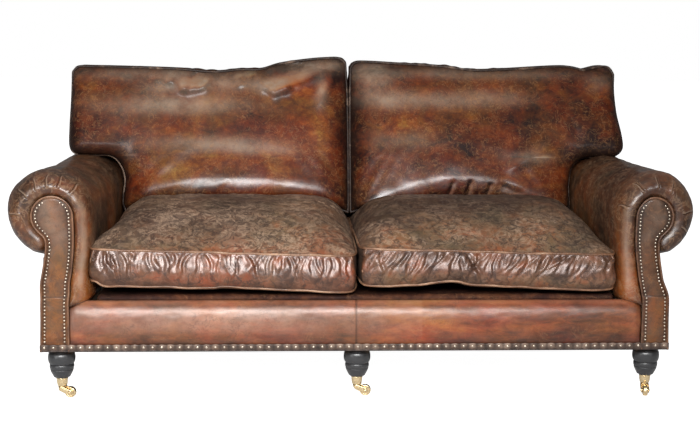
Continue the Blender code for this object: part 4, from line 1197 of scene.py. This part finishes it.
    # The band is a little darker on the right cushion, painted as shade, and darker on its sides
    # and back.
    bandTone = 0.32 - 0.03 * shape["side"] + 0.08 * smoothStep(t, 0.45, 0.70) * ahead
    bandTone = bandTone - 0.20 * (1 - ahead)
    bandTone = bandTone + 0.10 * waves(band * (1, 0.5, 1), 0.06, shape["seed"] + 15) * ahead
    # The band darkens under the top welt, on its sides and back, and towards its foot, where
    # painted shade falls over the gap.
    bandDarkening = 0.20 * np.exp(-((t - 0.02) / 0.05) ** 2) + 0.40 * np.exp(-((t - 1) / 0.12) ** 2)
    bandDarkening = bandDarkening + 0.5 * (1 - ahead)
    gloss = ahead * (0.90 - 0.08 * shape["side"] - 0.62 * smoothStep(t, 0.42, 0.72))
    shells = bag(top, band, bottom)
    makePiece(word + "SeatCushion", shells, seatHide,
              stands=word + "_seat_cushion",
              paint=bagPaint(shells, tone=(tone, bandTone, 0.3), soil=(soil, bandDarkening, 0.5),
                             bloom=(bloom, 0, 0), shine=(0, gloss, 0)))

    welts = []
    for loop in (upper, lower):
        path = evenly(np.concatenate([loop, loop[:1]]), 620, closed=True)
        path[:, 2] += 0.0008 * waves(path, 0.10, shape["seed"] + 7)
        welts.append(cordShell(path, c["cordRadius"], (0, 0, 1), 10, closed=True))
    for column, inward in ((0, 0.006), (c["across"] - 1, -0.006)):
        path = evenly(band[:, column] + (inward, -0.0015, 0), 60)
        welts.append(cordShell(path, 0.8 * c["cordRadius"], (0, -1, 0), 10))
    points = np.concatenate([w[0].reshape(-1, 3) for w in welts])
    makePiece(word + "SeatPiping", welts, pipingHide,
              paint={"tone": 0.55 + 0.12 * waves(points, 0.06, shape["seed"] + 9)})


for word, shape in (("left", leftSeat), ("right", rightSeat)):
    makeSeatCushion(word, shape)
print("seat cushions made")


border = dict(
    along=420, round=64, half=highOf("front_border", axisX) - 0.0002, seamX=-0.005,
    section=[(0.0340, 0.0020), (0.0060, 0.0020), (0.0040, 0.0120), (0.0015, 0.0400),
             (0.0000, 0.0750), (0.0020, 0.1000), (0.0075, 0.1240), (0.0165, 0.1420),
             (0.0270, 0.1520), (0.0355, 0.1550)])


def makeBorder():
    # One section (depth behind the face, height above the base) carried along the front.
    section = curveThrough(border["section"], border["round"])
    x = np.linspace(-border["half"], border["half"], border["along"])[:, None]
    grid = np.stack([x + 0 * section[None, :, 0], faceY + 0.001 + section[None, :, 0] + 0 * x,
                     baseZ + section[None, :, 1] + 0 * x], -1)
    normal = gridNormals(grid)
    normal *= np.sign(-normal[border["along"] // 2, border["round"] // 2, 1])
    height = grid[..., 2] - baseZ
    fromSeam = np.abs(x - border["seamX"])
    fromEnd = border["half"] - np.abs(x)
    move = 0.0008 * waves(grid * (0.35, 0.5, 0.5), 0.16, 71)
    move = move + 0.00012 * waves(grid * (0.5, 1.0, 1.5), 0.035, 72)
    move = move - 0.0020 * np.exp(-(fromSeam / 0.0020) ** 2)
    move = move - 0.004 * np.exp(-(fromEnd / 0.012) ** 2)
    held = smoothStep(height, 0.010, 0.05) * smoothStep(grid[..., 1] - faceY, 0.036, 0.024)
    grid = grid + normal * (move * held)[..., None]
    # The right half of the border is painted darker, as shade.
    tone = 0.51 + 0.08 * np.sin(x * 2.2 + 0.4) - 0.20 * smoothStep(x, 0.0, 0.60)
    tone = tone - 0.12 * smoothStep(height, 0.10, 0.02) + 0.12 * np.exp(-(fromEnd / 0.05) ** 2)
    tone = tone + 0.20 * smoothStep(height, 0.135, 0.152)
    # A broad painted sheen with dusty bloom over the left and middle of the face; the top roll is
    # paler too.
    bloom = 0.45 * np.exp(-((x + 0.42) / 0.46) ** 2) * smoothStep(height, 0.045, 0.085)
    bloom = bloom * (1 - smoothStep(height, 0.120, 0.140)) + 0.28 * smoothStep(
        height, 0.138, 0.152) + 0.10 * smoothStep(height, 0.02, 0.06) * (x < 0.2)
    # Darker along the centre seam and towards the foot; painted shade at the ends under the arms
    # and along the back of the top where it runs into the gap under the cushions.
    soil = 0.85 * np.exp(-(fromSeam / 0.0024) ** 2) + 0.5 * np.exp(-fromEnd / 0.010)
    soil = soil + 0.35 * smoothStep(height, 0.040, 0.022) + 0.4 * smoothStep(
        grid[..., 1] - faceY, 0.026, 0.036)
    makePiece("frontBorder", [tube(grid)], borderHide,
              stands="front_border",
              paint=ringPaint(grid, tone=tone, soil=np.clip(soil, 0, 0.9), shine=0.25,
                              bloom=bloom))


makeBorder()

band = dict(height=0.0235, thick=0.0026, scallop=0.0014, sideX=0.9744, longSteps=1400,
            sideSteps=620, nailPitch=0.0275, nailZ=0.0142, nailRadius=0.0040, nailHeight=0.0026)


def makeBand(name, stands, start, end, count, outward):
    # A strip carried along a line: its face swells at each nail, by the size of a sine, and its
    # top edge scallops between them.
    path = np.linspace(start, end, count)
    outward = np.broadcast_to(outward, path.shape)
    reach = lengthAlong(path)
    swell = np.abs(np.sin(np.pi * reach / band["nailPitch"]))[:, None]
    section = np.array([(0.0, 0.0), (0.55, 0.0), (0.95, 0.03), (1.0, 0.09), (0.55, 0.17),
                        (0.50, 0.23), (0.85, 0.30), (1.0, 0.42), (0.90, 0.60), (0.95, 0.76),
                        (1.0, 0.88), (0.65, 0.98), (0.0, 1.0)])
    s, h = section[None, :, 0], section[None, :, 1]
    high = (band["height"] - band["scallop"] * (1 - swell)) * h
    out = band["thick"] * s * (1 + 0.45 * swell * smoothStep(h, 0.2, 0.5))
    grid = path[:, None] + outward[:, None] * out[..., None]
    grid[..., 2] += high
    # Painted shade in the hollows between the nails and along the lower part of the strip, and a
    # painted highlight on the upper part of each swell.
    soil = np.clip(0.55 * (1 - swell) + 0.65 * smoothStep(h, 0.30, 0.10), 0, 0.85)
    tone = 0.40 + 0.35 * swell * smoothStep(h, 0.3, 0.7)
    makePiece(name, [tube(grid)], trimHide, stands=stands,
              paint=ringPaint(grid, tone=tone, soil=soil))
    at = band["nailPitch"] * (np.arange(int(reach[-1] / band["nailPitch"])) + 0.5)
    spots = np.stack([np.interp(at, reach, path[:, k]) for k in range(3)], 1)
    spots[:, 2] += band["nailZ"]
    turned = np.stack([np.interp(at, reach, outward[:, k]) for k in range(3)], 1)
    makeNails(name + "Nails", spots + turned * band["thick"], turned, band)


def makeBands():
    foot = baseZ + 0.0002
    half = highOf("front_trim_band", axisX)
    makeBand("frontBand", "front_trim_band", (-half, faceY - 0.0001, foot),
             (half, faceY - 0.0001, foot), band["longSteps"], (0.0, -1.0, 0.0))
    for word, side in (("left", -1), ("right", 1)):
        low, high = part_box(word + "_trim_band")
        makeBand(word + "Band", word + "_trim_band", (side * band["sideX"], low[1], foot),
                 (side * band["sideX"], high[1], foot), band["sideSteps"], (side, 0.0, 0.0))
    half = highOf("back_trim_band", axisX)
    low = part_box("back_trim_band")[0]
    makeBand("backBand", "back_trim_band", (-half, low[1] + 0.0002, low[2]),
             (half, low[1] + 0.0002, low[2]), band["longSteps"], (0.0, 1.0, 0.0))


makeBands()
print("border and bands made")


def roundedBlock(low, high, radius, counts):
    # Six grids of a box, whose points are drawn in to a smaller box and pushed out by the radius.
    # Sines of even steps crowd the points towards the edges.
    low, high = np.asarray(low, float), np.asarray(high, float)
    core = np.stack([low + radius, high - radius])
    shells = []
    mid, half = (low + high) / 2, (high - low) / 2
    reach = np.pi / 2 * 0.98
    for axis in range(3):
        p, q = (axis + 1) % 3, (axis + 2) % 3
        for end in (0, 1):
            a, b = [np.sin(np.linspace(-1, 1, counts[k]) * reach) / np.sin(reach) for k in (p, q)]
            g = np.zeros((len(a), len(b), 3))
            g[..., p] = mid[p] + half[p] * a[:, None]
            g[..., q] = mid[q] + half[q] * b[None]
            g[..., axis] = (low, high)[end][axis]
            base = np.clip(g, core[0], core[1])
            way = g - base
            way /= np.maximum(np.linalg.norm(way, axis=-1), 1e-9)[..., None]
            shells.append((base + radius * way, gridFaces(len(a), len(b))))
    return shells


def leaned(points):
    # Turns points of the upright back about the foot of its front face by the rake.
    y, z = points[..., 1] - backFootY, points[..., 2] - backFootZ
    out = points.copy()
    out[..., 1] = backFootY + y * math.cos(backRake) + z * math.sin(backRake)
    out[..., 2] = backFootZ - y * math.sin(backRake) + z * math.cos(backRake)
    return out


back = dict(half=0.965, height=0.717, padDepth=0.0985, panelBack=0.115, panelTop=0.700,
            weltRadius=0.0038, weltCorner=0.016, weltFoot=0.03, nailIn=0.014)


def makeBack():
    b = back
    shells = roundedBlock((-b["half"], backFootY, backFootZ),
                          (b["half"], backFootY + b["padDepth"], backFootZ + b["height"]),
                          0.030, (150, 24, 70))
    shells = [(leaned(g), f) for g, f in shells]
    makePiece("insideBack", shells, backHide,
              stands="inside_back", paint={"tone": 0.22, "soil": 0.15})
    near, far = backFootY + b["padDepth"] + 0.0008, backFootY + b["panelBack"] - 0.0015
    shells = roundedBlock((-b["half"], near, backFootZ),
                          (b["half"], far, backFootZ + b["panelTop"]), 0.006, (190, 14, 90))
    full = []
    for g, f in shells:
        rear = smoothStep(g[..., 1], (near + far) / 2, far)
        across = 1 - np.abs(g[..., 0] / b["half"]) ** 8
        up = (g[..., 2] - backFootZ) / b["panelTop"]
        lift = 0.0015 * waves(g * (1, 0, 0.6), 0.30, 81) + 0.0005 * waves(g * (1, 0, 1), 0.06, 82)
        g[..., 1] += rear * across * (1 - np.abs(2 * up - 1) ** 8) * (lift + 0.001)
        full.append((leaned(g), f))
    makePiece("outsideBack", full, armHide, stands="outside_back",
              paint={"tone": 0.40})
    inset, top = b["half"] - 0.004, backFootZ + b["panelTop"] - 0.004
    corner, foot = b["weltCorner"], backFootZ + b["weltFoot"]
    edge = evenly(np.vstack([(inset, foot),
                             arcPath((inset - corner, top - corner), corner, 0, 90, 14),
                             arcPath((corner - inset, top - corner), corner, 90, 180, 14),
                             (-inset, foot)]), 900)
    welt = leaned(np.stack([edge[:, 0], np.full(len(edge), far + 0.0006), edge[:, 1]], -1))
    makePiece("backWelt", [cordShell(welt, b["weltRadius"], (0, 1, 0), 10)], pipingHide,
              paint={"tone": 0.45})
    row = insetOf(edge, b["nailIn"])
    row = evenly(row, int(lengthAlong(row)[-1] / band["nailPitch"]))
    spots = leaned(np.stack([row[:, 0], np.full(len(row), far + 0.0008), row[:, 1]], -1))
    makeNails("backNails", spots, (0.0, math.cos(backRake), -math.sin(backRake)), band)


makeBack()


def makeOutsideArm(word, side):
    # Rings of the panel's section run from the facing back to the raked back.
    outer = curveThrough([(0.9715, baseZ + 0.001), (0.9700, 0.2500), (0.9675, 0.3250),
                          (0.9600, 0.3650), (0.9545, 0.4100), (0.9520, 0.4500)], 60)
    inner = curveThrough([(0.9345, 0.4500), (0.9365, 0.4100), (0.9430, 0.3650),
                          (0.9500, 0.3250), (0.9530, 0.2500), (0.9530, baseZ + 0.001)], 24)
    section = np.concatenate([outer, inner])
    t = np.linspace(0, 1, 90)[:, None]
    start = faceY + arm["facingThick"] + 0.0005
    end = backPlane(section[None, :, 1]) - 0.0015
    y = start + (end - start) * t
    grid = np.stack([section[None, :, 0] + 0 * t, y, section[None, :, 1] + 0 * t], -1)
    onOuter = (np.arange(len(section)) < len(outer))[None]
    ends = np.clip(np.minimum(t, 1 - t) / 0.04, 0, 1)
    lift = 0.0010 * waves(grid, 0.16, 91) + 0.0004 * waves(grid, 0.05, 92) - 0.0008
    grid[..., 0] += np.minimum(lift, 0.0004) * onOuter * ends * smoothStep(
        grid[..., 2], baseZ, baseZ + 0.04)
    # Painted shade at the front end beside the facing and along the top under the roll.
    soil = 0.4 * np.exp(-t / 0.02) + 0.5 * smoothStep(grid[..., 2], 0.415, 0.450)
    makePiece(word + "OutsideArm", [tube(settle(grid, side))], armHide,
              stands=word + "_outside_arm", paint=ringPaint(grid, tone=0.42, soil=soil))


for word, side in (("left", -1), ("right", 1)):
    makeOutsideArm(word, side)


def makeDeck():
    low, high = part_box("seat_deck")
    low, high = np.array(low) + 0.0004, np.array(high) - 0.0004
    shells = roundedBlock(low, high, 0.014, (150, 80, 16))
    for g, _ in shells:
        g[..., 2] -= 0.0012 * (1 + waves(g * (1, 1, 0), 0.22, 95) * 0.5) * (g[..., 2] > 0.32)
    # Painted shade: the deck is near black under the cushions and lighter over its front 2 cm by
    # the border.
    depth = np.concatenate([g[..., 1].ravel() for g, _ in shells]) - low[1]
    makePiece("seatDeck", shells, shadedDeckHide, stands="seat_deck",
              paint={"tone": 0.26 + 0.20 * (1 - smoothStep(depth, 0.0, 0.022))})


makeDeck()


def makeDustCover():
    # Stretched cloth, tacked along its edges and sagging a little less than its frame's depth.
    low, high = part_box("dust_cover")
    u, v = np.linspace(-1, 1, 120)[None], np.linspace(-1, 1, 60)[:, None]
    x = (low[0] + high[0]) / 2 + (high[0] - low[0]) / 2 * u + 0 * v
    y = (low[1] + high[1]) / 2 + (high[1] - low[1]) / 2 * v + 0 * u
    sag = 0.006 * (1 - u ** 4) * (1 - v ** 4) * (1 - 0.4 * np.cos(3 * np.pi * u))
    sheets = [np.stack([x, y, z + 0 * x - sag], -1) for z in (low[2], low[2] + 0.0007)]
    rows, cols = x.shape
    edge = np.stack([rimOf(s) for s in sheets])
    cloth = makePiece("dustCover", [(sheets[0], gridFaces(rows, cols)),
                                    (sheets[1], gridFaces(rows, cols)),
                                    (edge, gridFaces(2, edge.shape[1], wrapV=True))],
                      blackCloth, stands="dust_cover")


makeDustCover()
print("back, sides and deck made")


leg = dict(y=(lowOf("left_front_leg", axisY) + highOf("left_front_leg", axisY)) / 2,
           cupTop=highOf("left_castor_cup", axisZ), cupFoot=lowOf("left_castor_cup", axisZ))
places = {word: (lowOf(word + "_front_leg", axisX) + highOf(word + "_front_leg", axisX)) / 2
          for word in ("left", "centre", "right")}
headings = dict(left=-14.0, centre=-6.0, right=-100.0)     # of each castor's trail, from +X


def bead(radius, high, low, bulge, count=14):
    # A turned bead: a half ellipse standing out of the given radius between two heights.
    turn = np.linspace(0, np.pi, count)
    return np.stack([radius + bulge * np.sin(turn),
                     (high + low) / 2 + (high - low) / 2 * np.cos(turn)], 1)


def makeLeg(word):
    top = baseZ - 0.0006
    profile = np.concatenate([
        [(0.0340, top), (0.0355, top - 0.0010), (0.0355, 0.1455)],
        bead(0.0362, 0.1450, 0.1095, 0.0060, 18),
        [(0.0352, 0.1085)],
        bead(0.0352, 0.1080, 0.0925, 0.0025),
        [(0.0348, 0.0918)],
        curveThrough([(0.0360, 0.0905), (0.0350, 0.0860), (0.0325, 0.0800), (0.0295, 0.0740),
                      (0.0270, 0.0690), (0.0255, 0.0665), (0.0225, 0.0650)], 22),
        [(0.0175, leg["cupTop"] + 0.0006), (0.0150, leg["cupTop"] + 0.0006)]])
    shell, faces = turnedShell(profile, 72)
    shell = shell + np.array([places[word], leg["y"], 0.0])
    makePiece(word + "FrontLegTurned", [(shell, faces)], blackWood,
              stands=word + "_front_leg")


def onCastor(points, word):
    # From (along the trail, across it, height) to the sofa's own axes.
    turn = math.radians(headings[word])
    x = points[..., 0] * math.cos(turn) - points[..., 1] * math.sin(turn)
    y = points[..., 0] * math.sin(turn) + points[..., 1] * math.cos(turn)
    return np.stack([x + places[word], y + leg["y"], points[..., 2]], -1)


castor = dict(trail=0.0270, wheelRadius=0.0175, cheek=0.0130, slot=0.0083)


def cheekShell(near, far):
    # The hull of a large circle under the cup and a small one round the axle, with rounded rims.
    big, small = np.array([-0.0002, 0.0285]), np.array([castor["trail"], castor["wheelRadius"]])
    bigR, smallR = 0.0084, 0.0086
    way = small - big
    base = math.degrees(math.atan2(way[1], way[0]))
    spread = math.degrees(math.acos((bigR - smallR) / np.hypot(*way)))
    outline = np.concatenate([arcPath(big, bigR, base + spread, base + 360 - spread, 26),
                              arcPath(small, smallR, base - spread, base + spread, 22)])
    centre = outline.mean(0)
    rows = [(0.0, near), (0.80, near), (0.95, near + 0.15 * (far - near)),
            (1.0, (near + far) / 2), (0.95, far - 0.15 * (far - near)), (0.80, far), (0.0, far)]
    grid = np.stack([np.stack([centre[0] + k * (outline[:, 0] - centre[0]),
                               np.full(len(outline), y),
                               centre[1] + k * (outline[:, 1] - centre[1])], -1)
                     for k, y in rows])
    return grid, gridFaces(*grid.shape[:2], wrapV=True)


def acrossShell(profile, steps=40, ring=False):
    # A profile of (radius, place across) spun about the axle.
    grid, faces = turnedShell(profile, steps, ring)
    grid = np.stack([grid[..., 0], grid[..., 2], grid[..., 1]], -1)
    return grid + np.array([castor["trail"], 0.0, castor["wheelRadius"]]), faces


def makeCastor(word):
    def brassPiece(part, shells, body="sofa"):
        makePiece(word + "Castor" + part.capitalize(),
                  [(onCastor(grid, word), faces) for grid, faces in shells], castorBrass,
                  body=body, stands=word + "_castor_" + part)

    top, foot = leg["cupTop"], leg["cupFoot"]
    cup = np.concatenate([
        [(0.0062, foot + 0.0002), (0.0125, foot + 0.0002)],
        arcPath((0.0128, foot + 0.0026), 0.0024, -80, 0, 8),
        curveThrough([(0.0155, foot + 0.0045), (0.0167, foot + 0.0110),
                      (0.0172, top - 0.0075)], 12),
        [(0.0174, top - 0.0064)],
        bead(0.0175, top - 0.0060, top - 0.0008, 0.0008, 8),
        [(0.0175, top - 0.0002), (0.0166, top - 0.0001)]])
    brassPiece("cup", [turnedShell(cup, 64)])

    cheek, slot = castor["cheek"], castor["slot"]
    neck = turnedShell(np.concatenate([
        [(0.0060, 0.0226), (0.0092, 0.0238), (0.0114, 0.0262), (0.0124, 0.0290),
         (0.0127, 0.0325)], arcPath((0.0113, 0.0337), 0.0014, 0, 90, 6)])[::-1], 40)
    brassPiece("horn", [cheekShell(-cheek, -slot), cheekShell(slot, cheek), neck],
               word + "_castor")

    rivet = [(0.0008, -cheek - 0.0016), (0.0028, -cheek - 0.0013), (0.0042, -cheek - 0.0003),
             (0.0030, -cheek + 0.0002), (0.0028, -slot), (0.0028, slot), (0.0030, cheek - 0.0002),
             (0.0042, cheek + 0.0003), (0.0028, cheek + 0.0013), (0.0008, cheek + 0.0016)]
    brassPiece("axle", [acrossShell(rivet, 24)], word + "_castor")

    rim, half = castor["wheelRadius"], 0.0073
    wheel = np.concatenate([
        [(0.0034, -half), (0.0070, -half), (0.0082, -half + 0.0008), (0.0125, -half + 0.0008),
         (0.0138, -half + 0.0002)],
        arcPath((rim - 0.0036, -half + 0.0036), 0.0036, 255, 360, 10),
        arcPath((rim - 0.0036, half - 0.0036), 0.0036, 0, 105, 10),
        [(0.0138, half - 0.0002), (0.0125, half - 0.0008), (0.0082, half - 0.0008),
         (0.0070, half), (0.0034, half)]])
    brassPiece("wheel", [acrossShell(wheel, 64, ring=True)], word + "_wheel")


for word in places:
    makeLeg(word)
    makeCastor(word)
print("legs and castors made")


def refinish(finish, *words):
    for name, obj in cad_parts.items():
        if any(word in name for word in words):
            for slot in obj.material_slots:
                slot.material = finish


refinish(beech, "_rail", "_post", "_stump")
refinish(springSteel, "seat_spring")
refinish(blackWood, "rear_leg")
print("frame finished")


def makeStage():
    # A pale floor, and a world that looks white behind it but gives a softer light. The share of
    # light that only the eye sees keeps the floor pale between its faint shadows.
    mesh = bpy.data.meshes.new("floor")
    reach = 30.0
    mesh.from_pydata([(-reach, -reach, 0), (reach, -reach, 0), (reach, reach, 0),
                      (-reach, reach, 0)], [], [(0, 1, 2, 3)])
    floor = bpy.data.objects.new("floor", mesh)
    bpy.context.scene.collection.objects.link(floor)
    made, tree, shader = startMaterial("pale floor", **{
        "Base Color": (0.80, 0.80, 0.80, 1.0), "Roughness": 0.9,
        "Emission Color": (1.0, 1.0, 1.0, 1.0)})
    seen = node(tree, "LightPath").outputs["Is Camera Ray"]
    tree.links.new(maths(tree, "MULTIPLY", seen, studio["floorGlow"]),
                   shader.inputs["Emission Strength"])
    mesh.materials.append(made)
    world = bpy.data.worlds.new("studio")
    bpy.context.scene.world = world
    world.use_nodes = True
    tree = world.node_tree
    seen = node(tree, "LightPath").outputs["Is Camera Ray"]
    tree.links.new(ranged(tree, seen, 0.0, 1.0, studio["ambient"], 1.0),
                   tree.nodes["Background"].inputs["Strength"])
    tree.nodes["Background"].inputs["Color"].default_value = (1.0, 1.0, 1.0, 1.0)


def softLight(name, power, size, place, aim, spread=180.0):
    data = bpy.data.lights.new(name, "AREA")
    data.shape = "RECTANGLE"
    data.size, data.size_y = size
    data.energy = power
    data.spread = math.radians(spread)
    obj = bpy.data.objects.new(name, data)
    bpy.context.scene.collection.objects.link(obj)
    obj.location = place
    away = obj.location - Matrix.Translation(aim).to_translation()
    obj.rotation_euler = away.to_track_quat("Z", "Y").to_euler()


view = dict(place=(-0.2046, faceY - 3.6488, 1.1121), down=0.1439, turn=0.0482, roll=0.008,
            lens=62.18)
studio = dict(ambient=0.20, floorGlow=0.97)


def makeCamera():
    data = bpy.data.cameras.new("camera")
    data.sensor_width = 36.0
    data.lens = view["lens"]
    obj = bpy.data.objects.new("camera", data)
    bpy.context.scene.collection.objects.link(obj)
    aimed = (Matrix.Rotation(-view["turn"], 4, "Z")
             @ Matrix.Rotation(math.pi / 2 - view["down"], 4, "X")
             @ Matrix.Rotation(view["roll"], 4, "Z"))
    obj.matrix_world = Matrix.Translation(view["place"]) @ aimed
    bpy.context.scene.camera = obj


makeStage()
softLight("main box", 68.0, (2.3, 0.9), (-0.95, -3.9, 2.0), (-0.85, 0.0, 0.5), spread=105.0)
softLight("left box", 15.0, (1.0, 2.0), (-2.9, -2.9, 1.1), (-0.6, 0.0, 0.5), spread=140.0)
softLight("right box", 17.0, (1.1, 0.9), (0.80, -3.9, 2.0), (0.35, 0.0, 0.5), spread=90.0)
softLight("side box", 9.0, (0.9, 2.0), (2.4, -3.3, 1.1), (0.2, 0.0, 0.5))
softLight("top box", 18.0, (4.0, 2.5), (0.0, -0.4, 3.4), (0.0, 0.0, 0.5))
bpy.context.scene.view_settings.view_transform = "Standard"
makeCamera()
print("floor, light and camera made")
